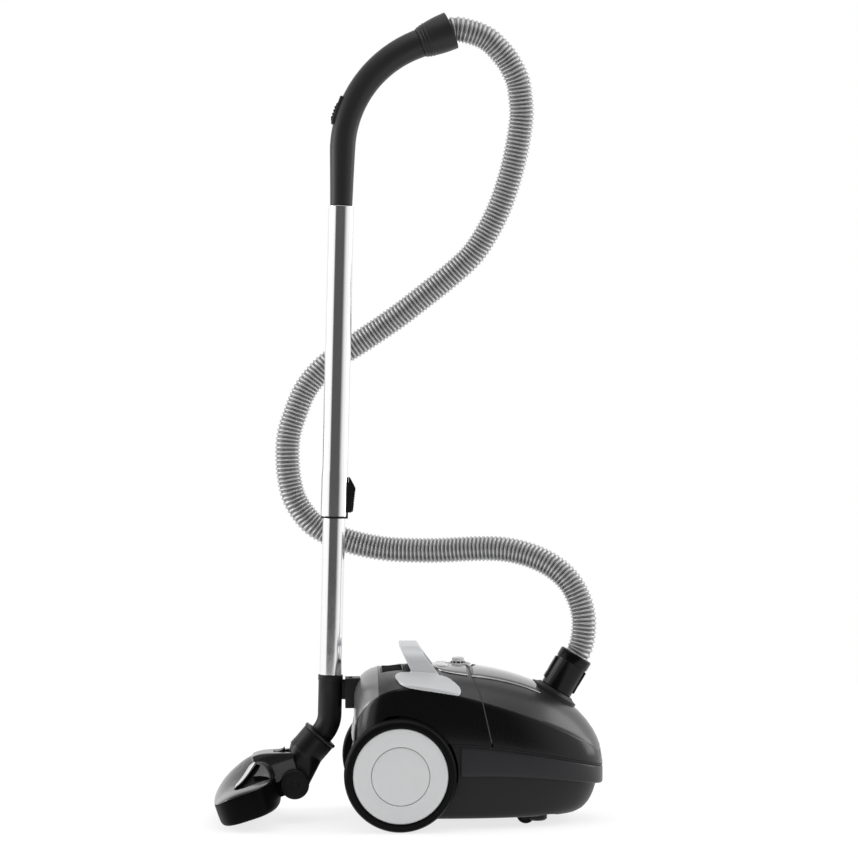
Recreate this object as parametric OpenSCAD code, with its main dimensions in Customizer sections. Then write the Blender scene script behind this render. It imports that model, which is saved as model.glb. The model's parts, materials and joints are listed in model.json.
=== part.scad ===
// Canister vacuum cleaner: wheeled housing, corrugated hose, curved grip, telescopic wand
// and a floor head hung on its parking bracket. Millimetres.
// +X points to the nose, +Y to the left side, +Z up; the floor is Z = 0.

/* [Housing] */
// Half the width of the housing, without the wheels
body_half_w = 118; // [110:1:120]
// Length from the widest section to the nose
nose_len = 229; // [215:1:240]
// Length from the widest section to the rear
tail_len = 125; // [120:1:130]
// Place of the widest section
mid_x = 44; // [42:1:46]
// Height of the crown over the nose level
crown_h = 138; // [132:1:142]
// Height of the nose
nose_z = 80; // [76:1:82]
// Gap between the floor and the flat underside
floor_gap = 13; // [12:0.5:14]
// Wall of the moulded shells
shell_wall = 2.6; // [2:0.1:3]
// Width of the bumper at the nose
bumper_depth = 8; // [6:0.5:9]

/* [Rear wheels] */
// Radius over the tyre
wheel_r = 77; // [74:0.5:78]
// Radius of the pale wheel disc
disc_r = 65; // [62:0.5:67]
// Width of the tyre
tyre_w = 26; // [22:1:28]
// Place of the rear axle
axle_x = -16; // [-18:1:-14]
// Depth of the wheel arch floor inside the widest side of the housing
arch_inset = 6; // [5:0.5:8]
// Radius of the stub axles
axle_r = 5; // [4:0.5:6]

/* [Castors] */
// Radius of the castor wheels
castor_r = 13; // [11:0.5:13.5]
// Trail of the castor wheel behind its pivot
castor_trail = 16; // [14:0.5:17]
// Distance of the castor pivots from the middle plane
castor_y = 48; // [45:1:50]
// Place of the castor pivots
castor_x = 177; // [172:1:180]

/* [Hood and controls] */
// Place of the hood hinge
hinge_x = 80; // [78:0.5:82]
// Gap between the hood and the rear covers
hood_gap = 2; // [1.8:0.1:2.5]
// Radius of the suction knob
knob_r = 9; // [8:0.5:10]
// Height of the suction knob
knob_h = 11; // [9:0.5:12]
// Radius of the push buttons
button_r = 8; // [7:0.5:9]
// Top of the carry handle
handle_z = 251; // [247:1:255]
// Width of the handle bar along X
handle_w = 25; // [22:1:28]

/* [Hose and connectors] */
// Outer radius of the hose
hose_r = 18; // [17.5:0.1:18.5]
// Radius of the connector body
connector_r = 23; // [22:0.5:24]
// Radius of the spigot in the hose port
spigot_r = 19; // [18:0.5:20]
// Tilt of the hose port from the vertical
port_tilt = 31; // [29:1:33]

/* [Wand] */
// Outer radius of the upper tube
upper_r = 19; // [18.5:0.1:19.5]
// Outer radius of the lower tube
lower_r = 16.25; // [15.75:0.05:16.5]
// Wall of both tubes
tube_wall = 0.8; // [0.6:0.1:1]
// Lean of the wand from the vertical
wand_lean = 1.3; // [0.8:0.1:1.6]
// Height of the lower end of the lower tube
wand_foot_z = 204; // [202:1:206]
// Length of the lower tube
lower_len = 413; // [400:1:420]
// Height of the upper tube's lower end along the wand
upper_start = 223; // [215:1:230]
// Length of the upper tube
upper_len = 436; // [425:1:445]
// Radius of the grip's bend
grip_bend_r = 165; // [160:1:170]
// Angle of the grip's bend
grip_bend = 66; // [62:1:68]
// Radius of the grip tube
grip_r = 17.8; // [17.2:0.1:18.4]

/* [Floor head] */
// Half the width of the floor head
head_half_w = 130; // [120:1:135]
// Tilt of the floor head, nose down
head_tilt = 18; // [16:1:19]
// Radius of the swivel collar
collar_r = 25; // [24:0.5:26]
// Radius of the head's rear rollers
roller_r = 20; // [18.5:0.5:20.5]

/* [Hidden] */
$fn = 64;
EPS = 0.01;
seat = 0.3;             // clearance between neighbouring pieces
run = 0.05;             // radial clearance of running fits
ring_n = 40;            // points round each body ring
arch_y = body_half_w - arch_inset;

// ---- helpers ----

function signed_pow(c, p) = sign(c) * pow(abs(c), p);
function arc_height(u, n) = pow(max(0, 1 - pow(min(1, abs(u)), n)), 1 / n);
function mix(a, b, t) = a + (b - a) * t;

// Faces between ring i and ring i + 1 of a stack of rings with m points each.
function band_faces(i, k, m) = [for (j = [0 : m - 1]) let (j2 = (j + 1) % m)
    each [[i * m + j, k * m + j, k * m + j2], [i * m + j, k * m + j2, i * m + j2]]];

// Closed solid from a stack of rings, shut by a fan to a point at each end.
module ring_stack(rings, first, last) {
    m = len(rings[0]);
    n = len(rings);
    points = [for (r = rings) each r, first, last];
    faces = [
        for (i = [0 : n - 2]) each band_faces(i, i + 1, m),
        for (j = [0 : m - 1]) [n * m, j, (j + 1) % m],
        for (j = [0 : m - 1]) [n * m + 1, (n - 1) * m + (j + 1) % m, (n - 1) * m + j]
    ];
    polyhedron(points, faces, convexity = 6);
}

// Closed band: the stack of rings returns to its first ring.
module ring_loop(rings) {
    m = len(rings[0]);
    n = len(rings);
    polyhedron([for (r = rings) each r],
        [for (i = [0 : n - 1]) each band_faces(i, (i + 1) % n, m)], convexity = 6);
}

module both_sides() {
    children();
    mirror([0, 1, 0]) children();
}

// Extrudes an XZ outline across the object, centred on Y = 0.
module across(width) {
    translate([0, width / 2, 0]) rotate([90, 0, 0]) linear_extrude(width) children();
}

module tube(r_out, r_in, z0, z1) {
    difference() {
        translate([0, 0, z0]) cylinder(r = r_out, h = z1 - z0);
        translate([0, 0, z0 - 1]) cylinder(r = r_in, h = z1 - z0 + 2);
    }
}

// ---- form of the housing ----

front_nose_n = 2.3;     // roundness of the nose in plan
tail_n = 5;             // squareness of the rear in plan
shoulder_dx = 2.4;      // the shoulder lies inside the plan outline, at the ends
shoulder_dy = 9;        // and at the sides
shoulder_x = 5;         // highest place of the shoulder
shoulder_z = nose_z + 114.5;
shoulder_nose_z = nose_z + 20;
shoulder_tail_z = nose_z + 30;
part_z = nose_z + 38;   // parting line at the rear
part_x = 64;            // where the parting line starts to fall
rear_end_x = mid_x - tail_len;
nose_x = mid_x + nose_len;

function plan(a, dx, dy) = let (c = cos(a), n = c > 0 ? front_nose_n : tail_n)
    [mid_x + ((c > 0 ? nose_len : tail_len) - dx) * signed_pow(c, 2 / n),
     (body_half_w - dy) * signed_pow(sin(a), 2 / n)];
function top_z(x) = x > mid_x
    ? nose_z + crown_h * arc_height((x - mid_x) / nose_len, 2)
    : nose_z + crown_h * arc_height((mid_x - x) / tail_len, 6);
function ridge_z(x) = x > shoulder_x
    ? shoulder_nose_z + (shoulder_z - shoulder_nose_z)
        * pow(max(0, 1 - pow(min(1, (x - shoulder_x) / (nose_x - 9 - shoulder_x)), 1.3)), 0.8)
    : shoulder_tail_z + (shoulder_z - shoulder_tail_z)
        * arc_height((shoulder_x - x) / (shoulder_x - rear_end_x), 2.3);
function parting_z(x) = x < part_x
    ? part_z
    : part_z - (part_z - nose_z) * pow(min(1, (x - part_x) / (nose_x - part_x)), 1.5);
function ridge_half_w(x) = let (front = x > mid_x)
    (body_half_w - shoulder_dy)
        * arc_height((x - mid_x) / ((front ? nose_len : tail_len) - shoulder_dx),
            front ? front_nose_n : tail_n);
function crown_z(x, y) = let (zt = top_z(x), w = max(1, ridge_half_w(x)))
    zt - (zt - ridge_z(x)) * pow(min(1, abs(y) / w), 2.2);

angles = [for (j = [0 : ring_n - 1]) j * 360 / ring_n];
crown_steps = [0.95, 0.86, 0.7, 0.5, 0.25];

// Rings of the upper housing, moved inwards by d: 0 parting line, 1 flank, 2 shoulder, 3.. crown.
function upper_ring(k, d) = [for (a = angles)
    k == 0 ? let (p = plan(a, d, d)) [p.x, p.y, parting_z(p.x)]
    : k == 1 ? let (p = plan(a, d + 0.8, d + 2.4)) [p.x, p.y, mix(parting_z(p.x), ridge_z(p.x), 0.5)]
    : let (t = k == 2 ? 1 : crown_steps[k - 3], p = plan(a, d + shoulder_dx, d + shoulder_dy),
           q = plan(a, shoulder_dx, shoulder_dy),
           z = k == 2 ? ridge_z(q.x) : crown_z(mid_x + t * (q.x - mid_x), t * q.y))
      [mid_x + t * (p.x - mid_x), t * p.y, z - (k == 2 ? 0.6 : 1) * d]];
crown_last = 2 + len(crown_steps);
function crown_point(d) = [mid_x, 0, top_z(mid_x) - d];

// The whole upper housing as one solid, moved inwards by d.
module upper_solid(d) {
    ring_stack([for (k = [0 : crown_last]) upper_ring(k, d)], [mid_x, 0, nose_z - 30], crown_point(d));
}
function flank_ring(k, d) = [for (p = upper_ring(k, d)) p - [0, 0, k == 2 ? seat : 0]];
module flank_band() {
    ring_loop([for (k = [0 : 2]) flank_ring(k, 0), for (k = [2 : -1 : 0]) flank_ring(k, shell_wall)]);
}
module crown_shell() {
    ring_stack([for (k = [crown_last : -1 : 2]) upper_ring(k, shell_wall),
            for (k = [2 : crown_last]) upper_ring(k, 0)],
        crown_point(shell_wall), crown_point(0));
}

// The seam between the hood and the rear covers, seen from the side.
hinge_z = top_z(hinge_x) - 4;
pin_r = 1.8;
knuckle_r = 4;
lug_y = [20, 24];       // hinge lugs of the top cover
knuckle_y = [24.4, 31]; // hinge knuckles of the hood
tongue_r = 21;          // round tongue of the top cover under the dish
seam_top = hinge_z + 60;
seam_side = [[hinge_x + 2, seam_top], [hinge_x + 2, hinge_z], [hinge_x + 16, 177], [hinge_x + 29, part_z],
    [hinge_x + 36, nose_z]];
module rear_zone() {
    across(4 * body_half_w) polygon([[-300, 0], [-300, seam_top], each seam_side, [hinge_x + 36, 0]]);
}
module hood_zone() {
    across(4 * body_half_w) polygon([[400, seam_top], each [for (p = seam_side) p + [hood_gap, 0]],
        [hinge_x + 36 + hood_gap, 0], [400, 0]]);
}

// Extrudes a round outline along the hinge axis, from y0 to y1 on the left side.
module hinge_axis(y0, y1) {
    translate([hinge_x, y1, hinge_z]) rotate([90, 0, 0]) linear_extrude(y1 - y0) children();
}

// Frame of the rear wheel on the left: local Z points outwards from the floor of the arch.
module wheel_frame() {
    translate([axle_x, arch_y, wheel_r]) rotate([-90, 0, 0]) children();
}
arch_r = wheel_r + 3;
module arch_cut() {
    both_sides() wheel_frame() cylinder(r = arch_r, h = 60);
}

// ---- lower housing ----

// Height over the floor gap, inset at the ends and inset at the sides.
bowl_levels = [[0, 45, 24], [2.5, 34, 15], [9, 25, 10], [20, 17, 7], [37, 10.5, 5]];
tongue_h = 3;           // rim that carries the upper housing
rim_dx = bumper_depth + 0.5;
rim_dy = 3.5;
castor_sweep_r = castor_trail + castor_r + 1.5;
castor_roof_z = 2 * castor_r + 5;

function bowl_ring(k, d) = let (l = bowl_levels[k])
    [for (a = angles) let (p = plan(a, l[1] + d, l[2] + d))
        [p.x, p.y, floor_gap + l[0] + (k == 0 ? d : 0.4 * d)]];
function rim_ring(dx, dy, dz) = [for (a = angles) let (p = plan(a, dx, dy))
    [p.x, p.y, parting_z(p.x) - dz]];
bowl_last = len(bowl_levels) - 1;

module bowl_shell() {
    ring_stack([for (k = [0 : bowl_last]) bowl_ring(k, 0),
            rim_ring(rim_dx, rim_dy, seat + tongue_h), rim_ring(seat, seat, seat + tongue_h),
            rim_ring(seat, seat, seat), rim_ring(rim_dx + shell_wall, rim_dy + shell_wall, seat),
            for (k = [bowl_last : -1 : 0]) bowl_ring(k, shell_wall)],
        [mid_x, 0, floor_gap], [mid_x, 0, floor_gap + shell_wall]);
}
module bowl_solid() {
    ring_stack([for (k = [0 : bowl_last]) bowl_ring(k, 0), rim_ring(rim_dx, rim_dy, seat + tongue_h),
            rim_ring(rim_dx, rim_dy, seat)],
        [mid_x, 0, floor_gap], [mid_x, 0, part_z - 30]);
}

module arch_liner(h) {
    both_sides() wheel_frame() {
        translate([0, 0, -shell_wall]) cylinder(r = arch_r + shell_wall, h = h);
    }
}

// Cups over the castors, with the sockets of their stems.
module castor_cups() {
    both_sides() translate([castor_x, castor_y, 0]) {
        cylinder(r = castor_sweep_r + 2.3, h = castor_roof_z + 3);
        cylinder(r = 9, h = castor_roof_z + 22);
    }
}
module lower_housing() color("dimgray") {
    difference() {
        union() {
            bowl_shell();
            intersection() {
                bowl_solid();
                union() {
                    arch_liner(30);
                    castor_cups();
                }
            }
            both_sides() wheel_frame() translate([0, 0, -18]) cylinder(r = 12, h = 17);
        }
        arch_cut();
        both_sides() wheel_frame() translate([0, 0, -17]) cylinder(r = axle_r + 0.02, h = 60);
        cord_frame() cylinder(r = 8, h = 16, center = true);
        both_sides() translate([castor_x, castor_y, 0]) {
            translate([0, 0, -1]) cylinder(r = castor_sweep_r, h = castor_roof_z + 1);
            cylinder(r = 4 + run, h = castor_roof_z + 18);
        }
    }
}

// Bumper band round the nose, below the parting line.
function bumper_z(x) = nose_z - 6.5 - 22 * pow(max(0, (x - 94) / (nose_x - 94)), 2);
function bumper_ring(d, t) = [for (a = angles) let (p = plan(a, d * rim_dx, d * rim_dy))
    [p.x, p.y, mix(bumper_z(p.x), parting_z(p.x) - tongue_h - 2 * seat, t)]];
bumper_front = axle_x + arch_r + 4;
module bumper() color("dimgray") {
    intersection() {
        ring_loop([bumper_ring(0.35, 0), bumper_ring(0, 0.12), bumper_ring(0, 0.9), bumper_ring(0.2, 1),
            bumper_ring(0.94, 1), bumper_ring(0.94, 0)]);
        translate([bumper_front, -200, 0]) cube([400, 400, 200]);
    }
}

// ---- upper housing ----

grille_x = -41;
grille_l = 33;
grille_w = 2 * body_half_w - 140;
cover_seam_x = -45;
dish_r = 18;
knob_x = 69;
power_pos = [46, 26];
rewind_pos = [46, -26];
board_z = 192;          // circuit board under the top cover
board_posts = [for (x = [14, 70], y = [-34, 34]) [x, y]];

module rear_shell() color([0.06, 0.06, 0.06]) {
    difference() {
        union() {
            intersection() {
                flank_band();
                rear_zone();
            }
            intersection() {
                upper_solid(0.5);
                arch_liner(2 * shell_wall);
                translate([-200, -200, part_z]) cube([400, 400, 60]);
            }
        }
        arch_cut();
    }
}

module top_cover() color([0.28, 0.28, 0.29]) {
    difference() {
        union() {
            intersection() {
                crown_shell();
                union() {
                    rear_zone();
                    translate([knob_x, 0, 100]) cylinder(r = tongue_r, h = 200);
                }
                translate([cover_seam_x + seat, -200, 0]) cube([400, 400, 300]);
            }
            both_sides() hinge_axis(lug_y[0], lug_y[1]) circle(r = knuckle_r);
            for (p = board_posts) translate([p.x, p.y, board_z + 2 + seat])
                cylinder(r = 3, h = crown_z(p.x, p.y) - board_z - 3.5);
        }
        both_sides() hinge_axis(knuckle_y[0] - 0.4, knuckle_y[1] + 0.4) circle(r = knuckle_r + 0.6);
        both_sides() hinge_axis(lug_y[0] - 1, knuckle_y[1]) circle(r = pin_r + run);
        translate([grille_x, -grille_w / 2, 190]) cube([grille_l, grille_w, 60]);
        translate([knob_x, 0, 190]) cylinder(r = dish_r - 4, h = 60);
        for (p = [power_pos, rewind_pos]) translate([p.x, p.y, 190]) cylinder(r = button_r + 0.4, h = 60);
    }
}

module rear_cover() color([0.4, 0.4, 0.42]) {
    intersection() {
        crown_shell();
        translate([cover_seam_x - 200, -200, 0]) cube([200, 400, 300]);
    }
}

// Slatted exhaust grille in the top cover.
slat_pitch = 5.5;
grille_top = top_z(grille_x + grille_l / 2) - 4;
grille_h = 10;
module exhaust_grille() color([0.05, 0.05, 0.05]) {
    difference() {
        union() {
            translate([grille_x + seat, -grille_w / 2 + seat, grille_top - grille_h])
                cube([grille_l - 2 * seat, grille_w - 2 * seat, grille_h]);
            translate([grille_x - 3, -grille_w / 2 + 2, grille_top - grille_h])
                cube([grille_l + 6, grille_w - 4, 1.8]);
        }
        for (i = [0 : floor((grille_w - 8) / slat_pitch) - 1])
            translate([grille_x + 3, -grille_w / 2 + 5 + i * slat_pitch, grille_top - grille_h - 1])
                cube([grille_l - 6, slat_pitch - 2, grille_h + 2]);
    }
}

// Raised dish round the suction knob; it rides over the hood's hinge line.
dish_z = top_z(knob_x);
module control_dish() color([0.3, 0.3, 0.31]) {
    translate([knob_x, 0, dish_z]) difference() {
        union() {
            translate([0, 0, 0.8]) cylinder(r1 = dish_r, r2 = dish_r - 3, h = 2.6);
            translate([0, 0, -7]) cylinder(r = dish_r - 4 - seat, h = 8);
        }
        translate([0, 0, 1.4]) cylinder(r = knob_r + 3, h = 4);
        translate([0, 0, -8]) cylinder(r = 3 + run, h = 12);
    }
}
module suction_knob() color([0.35, 0.35, 0.36]) {
    translate([knob_x, 0, dish_z]) {
        translate([0, 0, 1.4 + seat]) cylinder(r = knob_r - 1.2, h = knob_h - 4);
        translate([0, 0, knob_h - 3]) cylinder(r1 = knob_r - 0.6, r2 = knob_r - 1.4, h = 3);
        translate([0, 0, 1.4 + seat]) cylinder(r = knob_r, h = 3);
        translate([0, 0, -12]) cylinder(r = 3, h = 14);
        translate([0, 0, -12]) cylinder(r = 5, h = 3.5);
    }
}
button_z = -8;          // lower end of the buttons, below the skin
button_travel = 3.5;
module push_button(p) {
    z = crown_z(p.x, p.y);
    translate([p.x, p.y, z]) {
        translate([0, 0, button_z]) cylinder(r = button_r, h = 2.5 - button_z);
        translate([0, 0, 2.5]) cylinder(r1 = button_r, r2 = button_r - 1, h = 1);
        translate([0, 0, button_z]) cylinder(r = button_r + 2, h = 2.4);
    }
}
module power_button() color([0.85, 0.86, 0.87]) push_button(power_pos);
module rewind_button() color([0.85, 0.86, 0.87]) push_button(rewind_pos);

// Carry handle: a leaning arch on two pads that follow the shoulders.
arm_y = body_half_w - 46;   // outer face of the arch
arm_t = 13;
arch_top_r = 26;
pad_x = [-22, 68];
module handle_outline(inset) {
    r = arch_top_r - inset;
    w = arm_y - inset;
    z = handle_z - inset;
    hull() {
        for (s = [-1, 1]) translate([s * (w - r), z - r]) circle(r = r);
        translate([-w, 150]) square([2 * w, 10]);
    }
}
module handle_arch() {
    intersection() {
        translate([-100, 0, 0]) rotate([90, 0, 90]) linear_extrude(300) difference() {
            handle_outline(0);
            handle_outline(arm_t);
        }
        across(2 * body_half_w) polygon([[34, 170], [-14, handle_z + 1], [handle_w - 14, handle_z + 1],
            [68, 170]]);
    }
}
module pad_plan() {
    hull() {
        translate([pad_x[0] + 12, body_half_w - 42]) circle(r = 12);
        translate([pad_x[0] + 26, body_half_w - 26]) circle(r = 24);
        translate([pad_x[1] - 22, body_half_w - 34]) circle(r = 22);
        translate([pad_x[1] - 14, body_half_w - 20]) circle(r = 14);
    }
}
module carry_handle() color([0.78, 0.79, 0.8]) {
    difference() {
        union() {
            handle_arch();
            intersection() {
                upper_solid(-3.5);
                both_sides() translate([0, 0, 150]) linear_extrude(90) pad_plan();
                across(2 * body_half_w) polygon([[pad_x[0] - 2, 204], [pad_x[0] + 22, 195],
                    [pad_x[0] + 42, 190.5], [pad_x[1], 184], [pad_x[1] + 2, 240], [pad_x[0] - 2, 240]]);
            }
        }
        upper_solid(-seat);
    }
}

// Parking bracket: an upright channel on the rear wall that takes the neck's tee.
park_x = rear_end_x - 5;
park_z = [158, 200];
tee_w = 20;
tee_t = 4.4;
// Frame of the parking tee, which leans with the wand.
module park_frame() {
    translate([park_x + 0.4, 0, park_z[0] + 10]) rotate([0, wand_lean, 0]) children();
}
module park_bracket() color([0.12, 0.12, 0.12]) {
    difference() {
        translate([park_x - 4, -17, park_z[0]]) cube([26, 34, park_z[1] - park_z[0]]);
        upper_solid(-seat);
        park_frame() {
            translate([-0.4, -tee_w / 2 - 0.5, -0.4]) cube([tee_t + 0.8, tee_w + 1, 60]);
            translate([-10, -4, -0.4]) cube([12, 8, 60]);
        }
    }
}

// Grommet for the mains cord, in a hole of the rear wall: local Z points outwards.
module cord_frame() {
    translate([rear_end_x + 10.2, 36, 60]) rotate([0, -91.8, 0]) children();
}
module cord_outlet() color([0.05, 0.05, 0.05]) {
    cord_frame() difference() {
        union() {
            translate([0, 0, 0.4]) cylinder(r = 11, h = 2.2);
            translate([0, 0, -5]) cylinder(r = 7.7, h = 6);
        }
        translate([0, 0, -6]) cylinder(r = 4.5, h = 10);
    }
}

module rear_axles() color("silver") {
    both_sides() wheel_frame() {
        translate([0, 0, -16.5]) cylinder(r = axle_r, h = 40);
        translate([0, 0, 23.5]) cylinder(r = axle_r - 1.5, h = 1.5);
        translate([0, 0, 25]) cylinder(r = axle_r, h = 1.5);
    }
}

// ---- hood ----

port_x = nose_x - 69;
port_seat_z = top_z(port_x) - 2.5;
port_r = 35;
module port_frame() {
    translate([port_x, 0, port_seat_z]) rotate([0, port_tilt, 0]) children();
}
latch_half_w = 20;
latch_z = [nose_z + 4, nose_z + 19];

module hood_latch_window(grow) {
    translate([nose_x - 30, -latch_half_w - grow, latch_z[0] - grow])
        cube([40, 2 * (latch_half_w + grow), latch_z[1] - latch_z[0] + 2 * grow]);
}

module hood_shell() color([0.06, 0.06, 0.06]) {
    difference() {
        intersection() {
            flank_band();
            hood_zone();
        }
        hood_latch_window(0.4);
    }
}

module hood_top() color([0.28, 0.28, 0.29]) {
    difference() {
        union() {
            difference() {
                intersection() {
                    crown_shell();
                    hood_zone();
                }
                translate([knob_x, 0, 150]) cylinder(r = tongue_r + hood_gap, h = 100);
                both_sides() hinge_axis(lug_y[0] - 0.6, knuckle_y[1]) circle(r = knuckle_r + 0.6);
            }
            both_sides() hinge_axis(knuckle_y[0], knuckle_y[1]) hull() {
                circle(r = knuckle_r);
                translate([knuckle_r + 2.5, -1]) square([1, 1.6]);
            }
            both_sides() hinge_axis(lug_y[0], knuckle_y[1] - 1) circle(r = pin_r);
        }
        port_frame() translate([0, 0, -40]) cylinder(r = port_r + seat, h = 80);
        hood_latch_window(0.4);
    }
}

// Glossy inlay that stands proud of the hood, from the dish to the hose port.
inlay_x = [hinge_x + 8, port_x - 24];
inlay_half_w = [body_half_w - 60, body_half_w - 74];
module inlay_plan() {
    difference() {
        polygon([[inlay_x[0], -inlay_half_w[0]], [inlay_x[1], -inlay_half_w[1]],
            [inlay_x[1], inlay_half_w[1]], [inlay_x[0], inlay_half_w[0]]]);
        translate([knob_x, 0]) circle(r = tongue_r + hood_gap + 2);
    }
}
module hood_inlay() color([0.42, 0.42, 0.44]) {
    difference() {
        intersection() {
            upper_solid(-1.8);
            translate([0, 0, 150]) linear_extrude(90) inlay_plan();
        }
        upper_solid(-seat);
        port_frame() translate([0, 0, -20]) cylinder(r = port_r + 1, h = 60);
    }
}

module port_collar() color([0.1, 0.1, 0.1]) {
    port_frame() difference() {
        union() {
            translate([0, 0, -9]) cylinder(r = port_r, h = 12);
            translate([0, 0, 3]) cylinder(r1 = port_r, r2 = connector_r + 3, h = 4);
            translate([0, 0, -24]) cylinder(r = spigot_r + 4, h = 24);
        }
        translate([0, 0, -25]) cylinder(r = spigot_r + run, h = 60);
    }
}

// Release button at the nose.
module hood_latch() color([0.3, 0.3, 0.3]) {
    intersection() {
        difference() {
            upper_solid(0.4);
            upper_solid(9);
        }
        hood_latch_window(0);
    }
}

// ---- rear wheels ----

hub_gap = 2;            // from the floor of the arch to the hub
cap_r = 39.4;
tyre_z = [hub_gap + 1, hub_gap + 1 + tyre_w];
disc_z = tyre_z[1] + 1.5;   // outer face of the disc

module wheel() {
    rotate_extrude() polygon([[axle_r + run, hub_gap], [11, hub_gap], [11, disc_z - 9],
        [disc_r - 4, disc_z - 6], [disc_r - 4, tyre_z[0]], [disc_r, tyre_z[0]], [disc_r, disc_z - 2.5],
        [disc_r - 2, disc_z - 0.8], [cap_r + 0.8, disc_z], [cap_r + 0.8, disc_z - 3],
        [axle_r + run, disc_z - 5.5]]);
}
module tyre() {
    rotate_extrude() polygon([[disc_r, tyre_z[0]], [wheel_r - 3, tyre_z[0]], [wheel_r - 0.8, tyre_z[0] + 2],
        [wheel_r, tyre_z[0] + 6], [wheel_r, tyre_z[1] - 8], [wheel_r - 1, tyre_z[1] - 3],
        [wheel_r - 3.4, tyre_z[1] - 0.6], [disc_r + 3, tyre_z[1]], [disc_r, tyre_z[1] - 1.4]]);
}
module wheel_cap() {
    rotate_extrude() polygon([[0, disc_z - 2.9], [cap_r, disc_z - 2.9], [cap_r, disc_z - 0.2],
        [cap_r - 1, disc_z + 0.2], [0, disc_z + 1.4]]);
}
module wheel_left() color([0.74, 0.74, 0.75]) wheel_frame() wheel();
module wheel_right() color([0.74, 0.74, 0.75]) mirror([0, 1, 0]) wheel_frame() wheel();
module tyre_left() color([0.03, 0.03, 0.03]) wheel_frame() tyre();
module tyre_right() color([0.03, 0.03, 0.03]) mirror([0, 1, 0]) wheel_frame() tyre();
module wheel_cap_left() color([0.72, 0.72, 0.73]) wheel_frame() wheel_cap();
module wheel_cap_right() color([0.72, 0.72, 0.73]) mirror([0, 1, 0]) wheel_frame() wheel_cap();

// ---- castors ----

castor_w = 10;
castor_axle_r = 2;
module castor_frame(side) {
    translate([castor_x, side * castor_y, 0]) children();
}
module castor_fork(side) {
    castor_frame(side) difference() {
        union() {
            translate([0, 0, 7]) cylinder(r = 14, h = castor_roof_z - 7 - seat);
            translate([0, 0, 4.5]) cylinder(r1 = 11, r2 = 14, h = 2.5);
            cylinder_stem();
            for (s = [-1, 1]) translate([-castor_trail - 5, s * (castor_w / 2 + 2) - 1.5, castor_r - 5])
                cube([castor_trail + 5, 3, castor_r + 6]);
        }
        translate([-castor_trail, (castor_w + 1) / 2, castor_r]) rotate([90, 0, 0])
            cylinder(r = castor_r + 1.2, h = castor_w + 1);
        translate([-castor_trail, 20, castor_r]) rotate([90, 0, 0]) cylinder(r = castor_axle_r, h = 40);
    }
}
module cylinder_stem() {
    translate([0, 0, castor_roof_z - 1]) cylinder(r = 4, h = 18);
}
module castor_wheel(side) {
    castor_frame(side) translate([-castor_trail, 0, castor_r]) rotate([90, 0, 0]) {
        translate([0, 0, -castor_w / 2]) cylinder(r = castor_r, h = castor_w);
        translate([0, 0, -castor_w / 2 - 3]) cylinder(r = castor_axle_r - run, h = castor_w + 6);
    }
}
module castor_fork_left() color([0.07, 0.07, 0.07]) castor_fork(1);
module castor_fork_right() color([0.07, 0.07, 0.07]) castor_fork(-1);
module castor_wheel_left() color([0.1, 0.1, 0.1]) castor_wheel(1);
module castor_wheel_right() color([0.1, 0.1, 0.1]) castor_wheel(-1);

// ---- inside the housing ----

floor_z = floor_gap + shell_wall + seat;
wall_x = 86;            // bulkhead between the dust chamber and the motor
motor_z = 88;
motor_r = 56;
motor_x = [8, 76];
shaft_r = 4;
reel_z = 92;
reel_r = 66;
reel_x = [rear_end_x + 29, rear_end_x + 71];
bag_pos = [port_x - 32, 0, floor_gap + 79];

module bulkhead() color([0.2, 0.2, 0.2]) {
    difference() {
        translate([wall_x, -86, floor_z]) cube([3, 172, 150]);
        for (y = [-36 : 12 : 36], z = [motor_z - 36 : 12 : motor_z + 36])
            translate([wall_x - 1, y - 4, z - 4]) cube([5, 8, 8]);
    }
}
module motor_filter() color("white") {
    translate([wall_x + 3 + seat, -48, motor_z - 48]) cube([8, 96, 96]);
}
module motor_case() color([0.15, 0.15, 0.16]) {
    translate([0, 0, motor_z]) rotate([0, 90, 0]) difference() {
        union() {
            translate([0, 0, motor_x[0]]) cylinder(r = motor_r - 8, h = 40);
            translate([0, 0, motor_x[0] + 38]) cylinder(r = motor_r, h = motor_x[1] - motor_x[0] - 38);
        }
        translate([0, 0, motor_x[0] + 42]) cylinder(r = motor_r - 3, h = 22);
        translate([0, 0, motor_x[1] - 6]) cylinder(r = 26, h = 20);
        translate([0, 0, motor_x[0] + 8]) cylinder(r = shaft_r + run, h = 60);
    }
}
module impeller() color("silver") {
    translate([0, 0, motor_z]) rotate([0, 90, 0]) {
        translate([0, 0, motor_x[0] + 9]) cylinder(r = shaft_r, h = 46);
        translate([0, 0, motor_x[0] + 45]) cylinder(r = motor_r - 6, h = 2);
        translate([0, 0, motor_x[0] + 47]) cylinder(r = 10, h = 12);
        for (a = [0 : 45 : 315]) rotate(a) translate([8, -1, motor_x[0] + 47]) cube([motor_r - 16, 2, 10]);
    }
}
// Rubber rings that hold the motor, the front one sealed to the bulkhead.
module motor_mounts() color([0.08, 0.08, 0.08]) {
    translate([0, 0, motor_z]) rotate([0, 90, 0]) tube(motor_r - 2, 30, motor_x[1] + seat, wall_x - seat);
    difference() {
        translate([motor_x[0] + 6, -30, floor_z]) cube([22, 60, motor_z - motor_r + 20 - floor_z]);
        translate([0, 0, motor_z]) rotate([0, 90, 0]) cylinder(r = motor_r - 8 + seat, h = 80);
    }
}
module dust_bag() color([0.85, 0.83, 0.78]) {
    translate(bag_pos) ring_stack([for (l = [[-34, 0.82], [-26, 0.96], [-5, 1], [22, 0.96], [33, 0.8]])
        let (r = 62 * l[1]) [for (a = angles)
            [r * signed_pow(cos(a), 0.7), r * signed_pow(sin(a), 0.7), l[0]]]],
        [0, 0, -36], [0, 0, 36]);
    port_frame() translate([0, 0, -58]) cylinder(r = spigot_r + 2.5, h = 27 - seat);
}
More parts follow.
